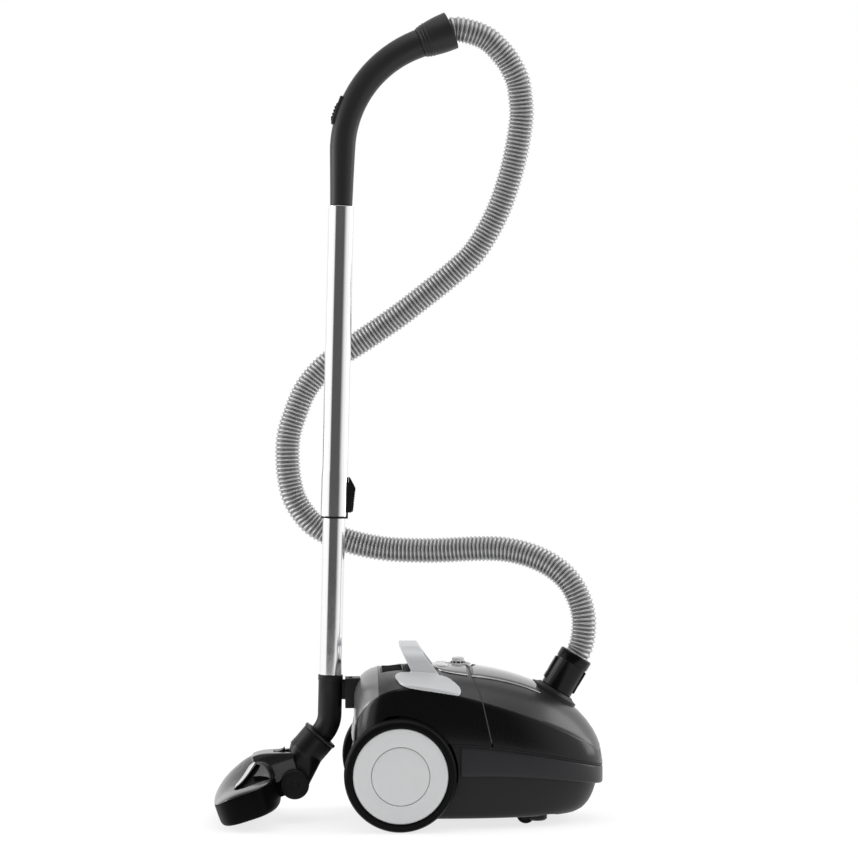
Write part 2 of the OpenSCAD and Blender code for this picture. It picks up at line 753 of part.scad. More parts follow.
// Card plate of the bag in its holder, under the hose port.
module bag_holder() color([0.75, 0.7, 0.6]) {
    port_frame() tube(30, spigot_r + 1, -31, -27);
    x = wall_x + 3 + seat;
    difference() {
        across(40) polygon([for (p = [[x, 35.2], [port_x - 54, 35.2], [port_x - 36.5, 14.2],
            [port_x - 39, 10.2], [port_x - 57, 31.2], [x, 31.2]]) [p.x, port_seat_z - p.y]]);
        port_frame() translate([0, 0, -80]) cylinder(r = spigot_r + 1, h = 90);
    }
}
module cord_reel() color([0.1, 0.1, 0.1]) {
    translate([0, 0, reel_z]) rotate([0, 90, 0]) difference() {
        union() {
            translate([0, 0, reel_x[0]]) cylinder(r = reel_r, h = 3);
            translate([0, 0, reel_x[1] - 3]) cylinder(r = reel_r, h = 3);
            translate([0, 0, reel_x[0]]) cylinder(r = reel_r - 12, h = reel_x[1] - reel_x[0]);
        }
        translate([0, 0, reel_x[0] - 1]) cylinder(r = 6 + run, h = 80);
    }
}
module reel_bracket() color([0.2, 0.2, 0.2]) {
    translate([0, 0, reel_z]) rotate([0, 90, 0]) translate([0, 0, reel_x[0] - 6]) cylinder(r = 6, h = 50);
    translate([reel_x[0] - 6, -40, 30]) cube([4, 80, reel_z - 24]);
}
module control_board() color([0.05, 0.25, 0.1]) {
    difference() {
        translate([10, -40, board_z]) cube([70, 80, 2]);
        for (p = board_posts) translate([p.x, p.y, board_z - 1]) cylinder(r = 1.5, h = 4);
    }
    translate([knob_x - 9, -8, board_z + 1]) cube([18, 16, dish_z - 12 - seat - board_z - 1]);
    for (p = [power_pos, rewind_pos]) translate([p.x - 5, p.y - 5, board_z + 1])
        cube([10, 10, crown_z(p.x, p.y) + button_z - button_travel - 0.4 - board_z - 1]);
}
module exhaust_filter() color("white") {
    translate([grille_x - 2, -grille_w / 2 + 3, grille_top - grille_h - seat - 16])
        cube([grille_l + 4, grille_w - 6, 16]);
}

// ---- hose and its connectors ----

connector_z = [7.4, 64];
cuff_l = 48;
cuff_neck_r = grip_r + 2.6;
cuff_mouth_r = 27;

module key_slot(side, grow) {
    rotate([0, 0, side > 0 ? 180 : 0])
        translate([connector_r - (grow > 0 ? 4.1 : 1.9), -7 - grow, 14 - grow])
        cube([8, 14 + 2 * grow, 34 + 2 * grow]);
}
module hose_connector() color([0.06, 0.06, 0.06]) {
    port_frame() difference() {
        union() {
            translate([0, 0, -22]) cylinder(r = spigot_r, h = 31);
            translate([0, 0, connector_z[0]])
                cylinder(r = connector_r, h = connector_z[1] - connector_z[0]);
            translate([0, 0, 53]) cylinder(r = connector_r + 1, h = 3);
        }
        translate([0, 0, -23]) cylinder(r = spigot_r - 2.5, h = 60);
        translate([0, 0, 34]) cylinder(r = hose_r + seat, h = 60);
        for (s = [-1, 1]) key_slot(s, seat);
    }
}
// Release keys that are pressed inwards, in slots of the connector.
module connector_key(side) {
    port_frame() intersection() {
        key_slot(side, 0);
        translate([0, 0, 10]) cylinder(r = connector_r + 2.2, h = 50);
    }
}
module connector_key_rear() color([0.1, 0.1, 0.1]) connector_key(1);
module connector_key_front() color([0.1, 0.1, 0.1]) connector_key(-1);

// The hose's route, from the grip's cuff to the middle and on to the connector.
hose_upper_path = [
    [50.2, 0, 1108.1], [60.5, 0, 1112.4], [68, 0, 1113.5], [80, 0, 1111.5], [99, 2, 1106], [114, 4, 1098],
    [127, 6, 1086], [139, 9, 1072], [148, 11, 1057], [155, 14, 1041], [158, 17, 1024], [160, 20, 1006],
    [160, 23, 988], [155, 28, 953], [146, 34, 913], [132, 40, 870], [115, 45, 834], [92, 50, 799],
    [60, 55, 769], [25, 60, 741], [-10, 65, 714], [-40, 70, 693], [-70, 73, 673], [-100, 75, 654],
    [-126, 75, 632], [-148, 74, 603], [-164, 72, 563], [-172, 70, 522], [-172, 70, 517]];
hose_lower_path = [
    [-172, 70, 516.7], [-172, 70, 511], [-170, 70, 482], [-161, 70, 448], [-140, 71, 418], [-115, 72, 401],
    [-88, 72, 390], [-56, 70, 382], [-20, 66, 377], [38, 56, 376], [100, 43, 379], [138, 34, 378],
    [173, 25, 370], [204, 16, 355], [227, 9, 334], [241, 4, 308], [247, 1, 282], [246, 0, 258],
    [242, 0, 240.5], [238, 0, 232.8], [231.8, 0, 222.5]];
hose_sides = 10;

function unit(v) = v / norm(v);
function ring_at(path, i, r) = let (n = len(path) - 1, p = path[i],
    t = unit(path[min(n, i + 1)] - path[max(0, i - 1)]), b = unit(cross(t, [0, 1, 0.05])), c = cross(b, t))
    [for (j = [0 : hose_sides - 1]) let (a = -j * 360 / hose_sides) p + r * (cos(a) * b + sin(a) * c)];
module hose_run(path) {
    ring_stack([for (i = [0 : len(path) - 1]) ring_at(path, i, hose_r)], path[0], path[len(path) - 1]);
}
module hose_lower() color([0.55, 0.55, 0.56]) hose_run(hose_lower_path);
module hose_upper() color([0.55, 0.55, 0.56]) hose_run(hose_upper_path);

// ---- wand ----

wand_foot_x = rear_end_x - 29.6;
module wand_frame() {
    translate([wand_foot_x, 0, wand_foot_z]) rotate([0, wand_lean, 0]) children();
}
upper_end = upper_start + upper_len;

module lower_tube() color([0.8, 0.8, 0.82]) {
    wand_frame() difference() {
        tube(lower_r, lower_r - tube_wall, 0, lower_len);
        for (i = [0 : 6]) translate([lower_r - 0.5, 0, upper_start + 22 + i * 22])
            rotate([0, 90, 0]) cylinder(r = 3, h = 4, center = true);
    }
}
module upper_tube() color([0.8, 0.8, 0.82]) {
    wand_frame() tube(upper_r, upper_r - tube_wall, upper_start, upper_end);
}
// Plastic sleeve in the end of the upper tube, with the saddle of the lock.
sleeve_r = upper_r - tube_wall - 0.02;
module lock_sleeve() color([0.05, 0.05, 0.05]) {
    wand_frame() difference() {
        union() {
            tube(sleeve_r, lower_r + run, upper_start - 3, upper_start + 45);
            tube(upper_r, lower_r + run, upper_start - 3, upper_start - 0.02);
            difference() {
                translate([upper_r - 4, -8, upper_start - 3]) cube([8.5, 16, 51]);
                translate([0, 0, upper_start - 0.02]) cylinder(r = upper_r + 0.02, h = 100);
                translate([0, 0, upper_start - 5]) cylinder(r = lower_r + 1, h = 100);
            }
        }
        translate([upper_r + 1.5, -5.5, upper_start + 9]) cube([10, 11, 34]);
    }
}
module lock_slider() color([0.07, 0.07, 0.07]) {
    wand_frame() {
        translate([upper_r + 1.8, -5.2, upper_start + 17]) cube([5, 10.4, 25.7]);
        for (i = [0 : 4]) translate([upper_r + 6.8, -5.2, upper_start + 19 + 5 * i]) cube([1.4, 10.4, 2]);
    }
}

// ---- grip ----

grip_plug_r = upper_r - tube_wall - 0.02;
grip_base_r = 15.2;
bend_z = 738;
bend_end = [grip_bend_r * (1 - cos(grip_bend)), bend_z + grip_bend_r * sin(grip_bend)];
grip_tail = 8;
slider_angle = 18;
slide_travel = 7;

// Frame at the end of the grip's bend: local Z runs along the cuff's axis.
module cuff_frame() {
    wand_frame() translate([bend_end.x, 0, bend_end.y]) rotate([0, grip_bend, 0]) children();
}
// Frame on the outer side of the bend: local X points outwards, local Z along the grip.
module slider_frame() {
    wand_frame() translate([grip_bend_r, 0, bend_z]) rotate([0, slider_angle, 0])
        translate([-grip_bend_r, 0, 0]) rotate([0, 0, 180]) children();
}
module bend_torus(r) {
    translate([grip_bend_r, 0, bend_z]) rotate([90, 0, 180]) rotate_extrude(angle = grip_bend, $fn = 120)
        translate([grip_bend_r, 0]) circle(r = r, $fn = 48);
}
module grip() color([0.07, 0.07, 0.07]) {
    difference() {
        union() {
            wand_frame() {
                translate([0, 0, upper_end - 34]) cylinder(r = grip_plug_r, h = 34);
                translate([0, 0, upper_end - EPS])
                    cylinder(r1 = grip_base_r, r2 = grip_r + 0.4, h = bend_z - upper_end);
                translate([0, 0, bend_z - 0.5]) cylinder(r = grip_r + 0.4, h = 1);
                bend_torus(grip_r);
            }
            cuff_frame() {
                translate([0, 0, -0.5]) cylinder(r = grip_r + 0.4, h = grip_tail + 0.5);
                translate([0, 0, grip_tail]) cylinder(r = grip_r - 1, h = 12);
            }
            slider_frame() translate([grip_r - 4, -8, -21]) cube([6.5, 16, 42]);
        }
        wand_frame() {
            translate([0, 0, upper_end - 35])
                cylinder(r = grip_base_r - 2.4, h = bend_z - upper_end + 35.5);
            bend_torus(grip_base_r - 2.8);
        }
        cuff_frame() translate([0, 0, -0.5]) cylinder(r = grip_base_r - 2.4, h = 40);
        slider_frame() {
            translate([grip_r + 0.5, -6, -17]) cube([10, 12, 34]);
            translate([0, -3, -12]) cube([30, 6, 10]);
        }
    }
}
module air_slider() color([0.1, 0.1, 0.1]) {
    slider_frame() {
        translate([grip_r + 0.8, -5.7, -16.7]) cube([3.4, 11.4, 34 - slide_travel - 2 * seat]);
        for (i = [0 : 3]) translate([grip_r + 4.2, -5.7, -13 + 5.5 * i]) cube([1.3, 11.4, 2]);
    }
}
// Swelling of the cuff: [share of its length, share of the way from neck to mouth].
cuff_swell = [[0, 0], [0.1, 0.24], [0.2, 0.44], [0.33, 0.62], [0.5, 0.8], [0.7, 0.93], [1, 1]];
function cuff_radius(share) = cuff_neck_r + (cuff_mouth_r - cuff_neck_r) * lookup(share, cuff_swell);
module hose_cuff() color([0.06, 0.06, 0.06]) {
    cuff_frame() translate([0, 0, grip_tail + seat]) difference() {
        union() {
            rotate_extrude() polygon(concat([[0, 0]], [for (p = cuff_swell) [cuff_radius(p.x), p.x * cuff_l]],
                [[0, cuff_l]]));
            for (z = [3, 7.5, 12]) translate([0, 0, z]) cylinder(r = cuff_radius(z / cuff_l) + 0.9, h = 1.6);
        }
        translate([0, 0, -1]) cylinder(r = grip_r - 1 + run, h = 30);
        translate([0, 0, 14]) cylinder(r = hose_r + seat, h = cuff_l);
    }
}

// ---- floor head ----

pivot_x = rear_end_x - 79.5;
pivot_z = 54;
elbow_r = 43;
elbow_drop = 54.8;
elbow_bend = 39.2;
neck_r = 16.8;
neck_end = [-elbow_r * (1 - cos(elbow_bend)), -elbow_drop - elbow_r * sin(elbow_bend)];

// Frame at the end of the elbow: local Z runs down along the swivel axis.
module swivel_frame() {
    wand_frame() translate([neck_end.x, 0, neck_end.y]) rotate([0, elbow_bend + 180, 0]) children();
}
module elbow_torus(r) {
    translate([-elbow_r, 0, -elbow_drop]) rotate([-90, 0, 0]) rotate_extrude(angle = elbow_bend, $fn = 120)
        translate([elbow_r, 0]) circle(r = r, $fn = 48);
}
module neck() color([0.05, 0.05, 0.05]) {
    difference() {
        union() {
            wand_frame() {
                translate([0, 0, -1]) cylinder(r = lower_r - tube_wall - 0.02, h = 36);
                translate([0, 0, -elbow_drop - 0.5]) cylinder(r = neck_r, h = elbow_drop + 0.45);
                translate([0, 0, -8]) cylinder(r = neck_r + 0.6, h = 7.95);
                elbow_torus(neck_r - 0.3);
            }
            swivel_frame() {
                translate([0, 0, -0.5]) cylinder(r = neck_r, h = 6.5);
                translate([0, 0, 5]) cylinder(r = 20, h = 20);
            }
            park_frame() {
                translate([wand_foot_x - park_x + 8, -2.5, 1]) cube([park_x - wand_foot_x - 7, 5, 28]);
                translate([0, -tee_w / 2, 0]) cube([tee_t, tee_w, 29]);
            }
        }
        wand_frame() {
            translate([0, 0, -elbow_drop - 0.5]) cylinder(r = 13.5, h = elbow_drop + 40.5);
            elbow_torus(13);
        }
        swivel_frame() translate([0, 0, -0.5]) cylinder(r = 13.5, h = 30);
    }
}

// Frame of the floor head at its pivot: local X to the front edge, local Z up from the sole.
module head_frame() {
    translate([pivot_x, 0, pivot_z]) rotate([0, -head_tilt, 0]) rotate([0, 0, 180]) children();
}
barrel_r = 19.5;
barrel_w = 50;
collar_l = 41;
module swivel_collar() color([0.06, 0.06, 0.06]) {
    difference() {
        union() {
            swivel_frame() translate([0, 0, 3]) cylinder(r = collar_r, h = collar_l - 3);
            swivel_frame() translate([0, 0, 3]) cylinder(r = collar_r + 1.2, h = 4);
            head_frame() rotate([90, 0, 0]) cylinder(r = barrel_r, h = barrel_w, center = true);
            hull() {
                swivel_frame() translate([0, 0, collar_l - 6])
                    cylinder(r = collar_r - 0.5, h = 5, $fn = 32);
                head_frame() rotate([90, 0, 0])
                    cylinder(r = barrel_r - 0.8, h = barrel_w - 2, center = true, $fn = 32);
            }
        }
        swivel_frame() translate([0, 0, -1]) cylinder(r = 20 + run, h = 26.5);
        swivel_frame() translate([0, 0, 0]) cylinder(r = 13.5, h = 62);
        head_frame() rotate([0, 90, 0]) cylinder(r = 12, h = 40);
        head_frame() rotate([90, 0, 0]) cylinder(r = 3 + run, h = 80, center = true);
    }
}

// Form of the floor head in its own frame: profiles of [u, height].
head_u = [24, 114];   // rear and front edge
head_n = 3.4;
sole_v = -17;
rim_points = [[20, 19], [75, 19], [100, 15.5], [115, 11]];
hump_points = [[-40, 35], [-12, 42], [-7, 43.5], [7, 47.5], [26, 52.8], [41, 54.4], [57, 51.6],
    [74, 45.2], [91, 36.4], [104, 27.5], [115, 19]];
end_points = [[24, 24], [68, 26], [90, 24], [104, 19.5], [115, 14]];
hump_half_w = 84;
head_mid = (head_u[0] + head_u[1]) / 2;
head_half_l = (head_u[1] - head_u[0]) / 2;
head_steps = [1, 0.985, 0.94, 0.86, 0.74, 0.58, 0.4, 0.2];
function head_plan(a, d) = [head_mid + (head_half_l - d) * signed_pow(cos(a), 2 / head_n),
    (head_half_w - d) * signed_pow(sin(a), 2 / head_n)];
function head_roof(u, y) =
    mix(lookup(u, end_points), lookup(u, hump_points),
        0.5 + 0.5 * cos(180 * min(1, abs(y) / hump_half_w)));
function head_ring(t, d) = [for (a = angles) let (p = head_plan(a, d), q = head_plan(a, 0),
    rim = lookup(q.x, rim_points), roof = head_roof(head_mid + t * (q.x - head_mid), t * q.y))
    [head_mid + t * (p.x - head_mid), t * p.y, rim + (roof - d - rim) * pow(1 - pow(t, 5), 1 / 3)]];
module dome_solid(d) {
    ring_stack([if (d > 0) [for (a = angles) let (p = head_plan(a, d)) [p.x, p.y, 0]],
            for (t = head_steps) head_ring(t, d)],
        [head_mid, 0, d > 0 ? 0 : rim_points[0].y], [head_mid, 0, head_roof(head_mid, 0) - d]);
}
// Rear part of the cover, over the swivel.
block_half_w = 31.5;
cheek_w = 4.2;
cheek_v = 9;            // joint between the cover and the cheeks
module block_solid(d) {
    u = [d > 0 ? -40 : -10, 46 - d];
    low = cheek_v + seat - 2 * d;
    w = block_half_w - d;
    intersection() {
        across(4 * block_half_w) polygon([[u[0], low], [u[0], lookup(u[0], hump_points) - d],
            for (p = hump_points) if (p.x > u[0] && p.x < u[1]) [p.x, p.y - d],
            [u[1], lookup(u[1], hump_points) - d], [u[1], low]]);
        rotate([90, 0, 90]) translate([0, 0, -50]) linear_extrude(150) polygon([[-w, 0], [-w, 36],
            [3 - w, 48], [11 - w, 62], [w - 11, 62], [w - 3, 48], [w, 36], [w, 0]]);
    }
}
pedal_u = 7;
pedal_v = 43.8;
tilt_range = [-25, 3];
module throat_cut() {
    for (t = [tilt_range[0], 0, tilt_range[1]])
        translate([pivot_x, 0, pivot_z]) rotate([0, -t, 0]) translate([-pivot_x, 0, -pivot_z])
            swivel_frame() translate([0, 0, -10]) cylinder(r = collar_r + 1.8, h = 64);
}
module rollers(grow) {
    for (s = [-1, 1]) translate([0, s * 39, 0]) rotate([90, 0, 0])
        cylinder(r = roller_r + grow, h = 12 + grow, center = true);
}
module head_cover() color([0.3, 0.3, 0.3]) {
    difference() {
        head_frame() difference() {
            union() {
                dome_solid(0);
                block_solid(0);
            }
            dome_solid(shell_wall);
            block_solid(shell_wall);
            rotate([90, 0, 0])
                cylinder(r = barrel_r + 1.5, h = 2 * (block_half_w - cheek_w), center = true);
            translate([pedal_u, 0, 40]) scale_oval(pedal_l / 2 + 1.2, pedal_w / 2 + 0.8, 40);
            translate([pedal_u, 0, pedal_v + pedal_pin]) rotate([90, 0, 0])
                cylinder(r = 1.5 + run, h = pedal_w + 13, center = true);
        }
        throat_cut();
    }
}
pedal_l = 16;
pedal_w = 26;
module scale_oval(a, b, h) {
    linear_extrude(h) hull() for (s = [-1, 1]) translate([0, s * (b - a)]) circle(r = a);
}
pedal_pin = 1.5;        // height of the pedal's pin over its lower edge
module head_pedal() color([0.04, 0.04, 0.04]) {
    head_frame() translate([pedal_u, 0, pedal_v]) {
        scale_oval(pedal_l / 2, pedal_w / 2, 7);
        translate([0, 0, pedal_pin]) rotate([90, 0, 0]) cylinder(r = 1.5, h = pedal_w + 12, center = true);
    }
}
mouth_u = [66, 86];
mouth_half_w = 108;
strip_u = [57.5, 91];   // rear faces of the two bristle rows
strip_t = 3.5;
strip_half_w = 102;
sole_t = 5;
module head_sole() color([0.05, 0.05, 0.05]) {
    head_frame() difference() {
        union() {
            ring_stack([[for (a = angles) let (p = head_plan(a, 4.5)) [p.x, p.y, sole_v]],
                [for (a = angles) let (p = head_plan(a, 0.6)) [p.x, p.y, sole_v + 5]],
                [for (a = angles) let (p = head_plan(a, 0)) [p.x, p.y, lookup(p.x, rim_points) - seat]],
                [for (a = angles) let (p = head_plan(a, 3), q = head_plan(a, 0))
                    [p.x, p.y, lookup(q.x, rim_points) - seat]],
                [for (a = angles) let (p = head_plan(a, 4)) [p.x, p.y, sole_v + sole_t]]],
                [head_mid, 0, sole_v], [head_mid, 0, sole_v + sole_t]);
            for (s = [-1, 1]) translate([0, s * (block_half_w - cheek_w / 2), 0]) {
                translate([0, -cheek_w / 2, -11]) cube([head_u[0] + 1.5, cheek_w, 11 + cheek_v]);
                rotate([90, 0, 0]) cylinder(r = 11, h = cheek_w, center = true);
            }
        }
        translate([mouth_u[0], -mouth_half_w, -30]) cube([mouth_u[1] - mouth_u[0], 2 * mouth_half_w, 25]);
        for (u = strip_u) translate([u - 0.4, -strip_half_w - 0.4, -30])
            cube([strip_t + 0.8, 2 * strip_half_w + 0.8, 25]);
        translate([head_u[0] - 5, -20, -9]) cube([14, 40, 22]);
        translate([head_u[0] - 40, -block_half_w - seat, cheek_v + EPS])
            cube([49, 2 * (block_half_w + seat), 22]);
        rotate([90, 0, 0]) cylinder(r = 3 + run, h = 80, center = true);
    }
}
// Metal plate on the underside of the sole, round the mouth.
module sole_plate() color("silver") {
    head_frame() translate([0, 0, sole_v - 1]) linear_extrude(1 - 0.02) difference() {
        polygon([for (a = angles) head_plan(a, 9)]);
        translate([mouth_u[0] - 1, -mouth_half_w - 1])
            square([mouth_u[1] - mouth_u[0] + 2, 2 * mouth_half_w + 2]);
        for (u = strip_u) translate([u - 1, -strip_half_w - 1])
            square([strip_t + 2, 2 * strip_half_w + 2]);
    }
}
// Two rows of bristles on one carrier, pushed out by the pedal.
module bristle_strip() color([0.02, 0.02, 0.02]) {
    head_frame() {
        for (u = strip_u) translate([u, -strip_half_w, sole_v + 0.2]) cube([strip_t, 2 * strip_half_w, 14]);
        for (s = [-1, 1]) translate([strip_u[0], s * 60 - 5, sole_v + 11])
            cube([strip_u[1] + strip_t - strip_u[0], 10, 3.2]);
    }
}
// Rear rollers on their common axle.
module head_rollers() color([0.1, 0.1, 0.1]) {
    head_frame() {
        rollers(0);
        rotate([90, 0, 0]) cylinder(r = 3, h = 90, center = true);
    }
}

lower_housing();
bumper();
rear_shell();
top_cover();
rear_cover();
exhaust_grille();
carry_handle();
park_bracket();
control_dish();
cord_outlet();
rear_axles();
hood_shell();
hood_top();
hood_inlay();
port_collar();
hood_latch();
suction_knob();
power_button();
rewind_button();
wheel_left();
tyre_left();
wheel_cap_left();
wheel_right();
tyre_right();
wheel_cap_right();
castor_fork_left();
castor_wheel_left();
castor_fork_right();
castor_wheel_right();
bulkhead();
motor_filter();
motor_case();
motor_mounts();
impeller();
dust_bag();
bag_holder();
cord_reel();
reel_bracket();
control_board();
exhaust_filter();
hose_connector();
connector_key_rear();
connector_key_front();
hose_lower();
hose_upper();
hose_cuff();
grip();
air_slider();
upper_tube();
lock_sleeve();
lock_slider();
lower_tube();
neck();
swivel_collar();
head_cover();
head_sole();
head_pedal();
head_rollers();
bristle_strip();
sole_plate();
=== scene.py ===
"""Looks of the canister vacuum cleaner: shells, hose, grip, wand and floor head.

Lengths are in millimetres and scaled when a mesh is made. Only the camera, the lamps, the
shader distances and the sizes of the geometry trees are in metres.
"""

import json
from math import cos, pi, radians, sin

import bmesh
import bpy
import numpy as np
from mathutils import Matrix, Vector


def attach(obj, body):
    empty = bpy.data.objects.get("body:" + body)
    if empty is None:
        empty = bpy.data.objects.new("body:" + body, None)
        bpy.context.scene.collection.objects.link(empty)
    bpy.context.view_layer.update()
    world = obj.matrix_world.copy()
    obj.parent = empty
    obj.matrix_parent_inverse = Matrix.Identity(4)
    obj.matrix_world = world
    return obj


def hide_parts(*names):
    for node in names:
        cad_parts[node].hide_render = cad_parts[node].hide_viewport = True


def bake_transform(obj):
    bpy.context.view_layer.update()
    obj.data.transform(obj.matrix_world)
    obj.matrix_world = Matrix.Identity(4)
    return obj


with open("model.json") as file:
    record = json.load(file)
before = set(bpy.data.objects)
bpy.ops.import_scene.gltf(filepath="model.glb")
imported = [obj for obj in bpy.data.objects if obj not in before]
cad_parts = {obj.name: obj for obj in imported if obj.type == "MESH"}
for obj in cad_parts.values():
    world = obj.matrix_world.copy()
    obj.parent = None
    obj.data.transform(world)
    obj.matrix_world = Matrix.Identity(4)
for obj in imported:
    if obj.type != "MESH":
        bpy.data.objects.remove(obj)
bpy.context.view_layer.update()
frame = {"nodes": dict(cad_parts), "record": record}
MM = 0.001
SIDES = ((1, "left"), (-1, "right"))


# ---- node trees ----

class Tree:
    """A node tree with short calls for adding and joining nodes."""

    def __init__(self, tree, family="ShaderNode"):
        self.tree, self.family = tree, family

    def feed(self, socket, value):
        """Links a socket or sets its value."""
        if isinstance(value, bpy.types.NodeSocket):
            self.tree.links.new(value, socket)
        else:
            socket.default_value = value

    def add(self, kind, inputs=None, **settings):
        node = self.tree.nodes.new(kind if "Node" in kind else self.family + kind)
        for name, value in settings.items():
            setattr(node, name, value)
        for name, value in (inputs or {}).items():
            self.feed(node.inputs[name], value)
        return node

    def maths(self, operation, a, b=0.0, c=0.0):
        node = self.add("ShaderNodeMath", operation=operation)
        for i, value in enumerate((a, b, c)):
            self.feed(node.inputs[i], value)
        return node.outputs[0]

    def ramp(self, value, start, stop, low, high):
        """Smooth step from low to high between start and stop."""
        return self.add("MapRange", {
            "Value": value, "From Min": start, "From Max": stop, "To Min": low, "To Max": high,
        }, interpolation_type="SMOOTHSTEP").outputs[0]

    def mix(self, share, a, b):
        """Colour between a and b."""
        return self.add("Mix", {0: share, 6: a, 7: b}, data_type="RGBA").outputs[2]

    def on_points(self, mesh, instance, **more):
        """Copies of a shape on every point of a mesh."""
        spots = self.add("MeshToPoints", {"Mesh": mesh}).outputs[0]
        copies = self.add("InstanceOnPoints", {"Points": spots, "Instance": instance, **more})
        return copies.outputs[0]


def new_tree(name, family, inputs, outputs):
    """A node tree with sockets (label, kind, value) in and (label, kind) out."""
    tree = bpy.data.node_groups.new(name, family + "Tree")
    for label, kind, value in inputs:
        socket = tree.interface.new_socket(label, in_out="INPUT", socket_type="NodeSocket" + kind)
        if value is not None:
            socket.default_value = value
    for label, kind in outputs:
        tree.interface.new_socket(label, in_out="OUTPUT", socket_type="NodeSocket" + kind)
    t = Tree(tree, family)
    return t, t.add("NodeGroupInput").outputs, t.add("NodeGroupOutput").inputs


def geometry_tree(name, sizes):
    """A geometry tree with named sizes, and the call that ends it as plain mesh in its finish."""
    kinds = {int: "Int", float: "Float", type(None): "Object"}
    t, i, o = new_tree(
        name, "GeometryNode",
        [("Geometry", "Geometry", None)]
        + [(label, kinds[type(value)], value) for label, value in sizes.items()]
        + [("Finish", "Material", None)], [("Geometry", "Geometry")])

    def close(shape):
        whole = t.add("RealizeInstances", {"Geometry": shape}).outputs[0]
        coloured = t.add("SetMaterial", {"Geometry": whole, "Material": i["Finish"]}).outputs[0]
        t.feed(o["Geometry"], coloured)
        return t.tree
    return t, i, close


def blank(owner):
    """The emptied node tree of a material or a world."""
    owner.use_nodes = True
    owner.node_tree.nodes.clear()
    return Tree(owner.node_tree)


def grain_group():
    """Fine grain of a moulded or lacquered surface."""
    t, i, o = new_tree("MouldGrain", "ShaderNode",
                       [("Scale", "Float", 900.0), ("Depth", "Float", 0.1)], [("Normal", "Vector")])
    where = t.add("TexCoord").outputs["Object"]
    fine = t.add("TexNoise", {"Vector": where, "Scale": i["Scale"], "Detail": 3.0,
                              "Roughness": 0.6}).outputs["Fac"]
    bump = t.add("Bump", {"Strength": i["Depth"], "Distance": 0.0004, "Height": fine})
    t.feed(o["Normal"], bump.outputs["Normal"])
    return t.tree


def tone_group():
    """Slow drift of tone and gloss, with a little dust on what faces up."""
    t, i, o = new_tree("ToneDrift", "ShaderNode", [
        ("Color", "Color", (0.5, 0.5, 0.5, 1)), ("Roughness", "Float", 0.4),
        ("Drift", "Float", 0.08), ("Dust", "Float", 0.04)],
        [("Color", "Color"), ("Roughness", "Float")])
    where = t.add("TexCoord").outputs["Object"]
    slow = t.add("TexNoise", {"Vector": where, "Scale": 14.0, "Detail": 3.0}).outputs["Fac"]
    specks = t.add("TexNoise", {"Vector": where, "Scale": 260.0, "Detail": 4.0, "Roughness": 0.7})
    normal = t.add("NewGeometry").outputs["Normal"]
    up = t.add("SeparateXYZ", {"Vector": normal}).outputs["Z"]
    up = t.maths("POWER", t.maths("MAXIMUM", up, 0.0), 3.0)
    dust = t.maths("MULTIPLY", t.maths("MULTIPLY", up, specks.outputs["Fac"]), i["Dust"])
    swing = t.maths("SUBTRACT", slow, 0.5)
    shade = t.maths("MULTIPLY_ADD", swing, i["Drift"], 1.0)
    toned = t.add("VectorMath", {0: i["Color"], "Scale": shade}, operation="SCALE").outputs[0]
    t.feed(o["Color"], t.mix(dust, toned, (0.55, 0.53, 0.5, 1)))
    rough = t.maths("MULTIPLY_ADD", swing, i["Drift"], i["Roughness"])
    t.feed(o["Roughness"], t.maths("MULTIPLY_ADD", dust, 1.5, rough))
    return t.tree


def wear_group():
    """Hairline scuffs, as a mask over the surface."""
    t, i, o = new_tree("Scuffs", "ShaderNode",
                       [("Scale", "Float", 40.0), ("Amount", "Float", 0.2)], [("Mask", "Float")])
    where = t.add("TexCoord").outputs["Object"]
    drawn = t.add("Mapping", {"Vector": where, "Scale": (1.0, 6.0, 1.0),
                              "Rotation": (0.3, 0.2, 0.5)})
    lines = t.add("TexNoise", {"Vector": drawn.outputs[0], "Scale": i["Scale"], "Detail": 6.0,
                               "Roughness": 0.75}).outputs["Fac"]
    away = t.maths("ABSOLUTE", t.maths("MULTIPLY", t.maths("SUBTRACT", lines, 0.5), 14.0))
    edge = t.maths("MAXIMUM", t.maths("SUBTRACT", 1.0, away), 0.0)
    t.feed(o["Mask"], t.maths("MULTIPLY", edge, i["Amount"]))
    return t.tree


GRAIN, TONE, SCUFFS = grain_group(), tone_group(), wear_group()
DRIFT = 0.06


def finish_material(name, colour, roughness, grain, dust, specular,
                    metallic=0.0, coat=0.0, coat_rough=0.08, scuffs=0.0):
    """A Principled material whose tone, gloss and grain come from the shared groups."""
    m = bpy.data.materials.new(name)
    t = blank(m)
    tone = t.add("Group", {"Color": (*colour, 1), "Roughness": roughness, "Drift": DRIFT,
                           "Dust": dust}, node_tree=TONE)
    rough = tone.outputs["Roughness"]
    if scuffs:
        worn = t.add("Group", {"Amount": scuffs}, node_tree=SCUFFS)
        rough = t.maths("ADD", rough, worn.outputs["Mask"])
    grained = t.add("Group", {"Scale": grain[0], "Depth": grain[1]}, node_tree=GRAIN)
    bsdf = t.add("BsdfPrincipled", {
        "Base Color": tone.outputs["Color"], "Roughness": rough, "Metallic": metallic,
        "Normal": grained.outputs["Normal"], "Coat Weight": coat, "Coat Roughness": coat_rough,
        "IOR": 1.5, "Specular IOR Level": specular})
    t.add("OutputMaterial", {0: bsdf.outputs[0]})
    return m


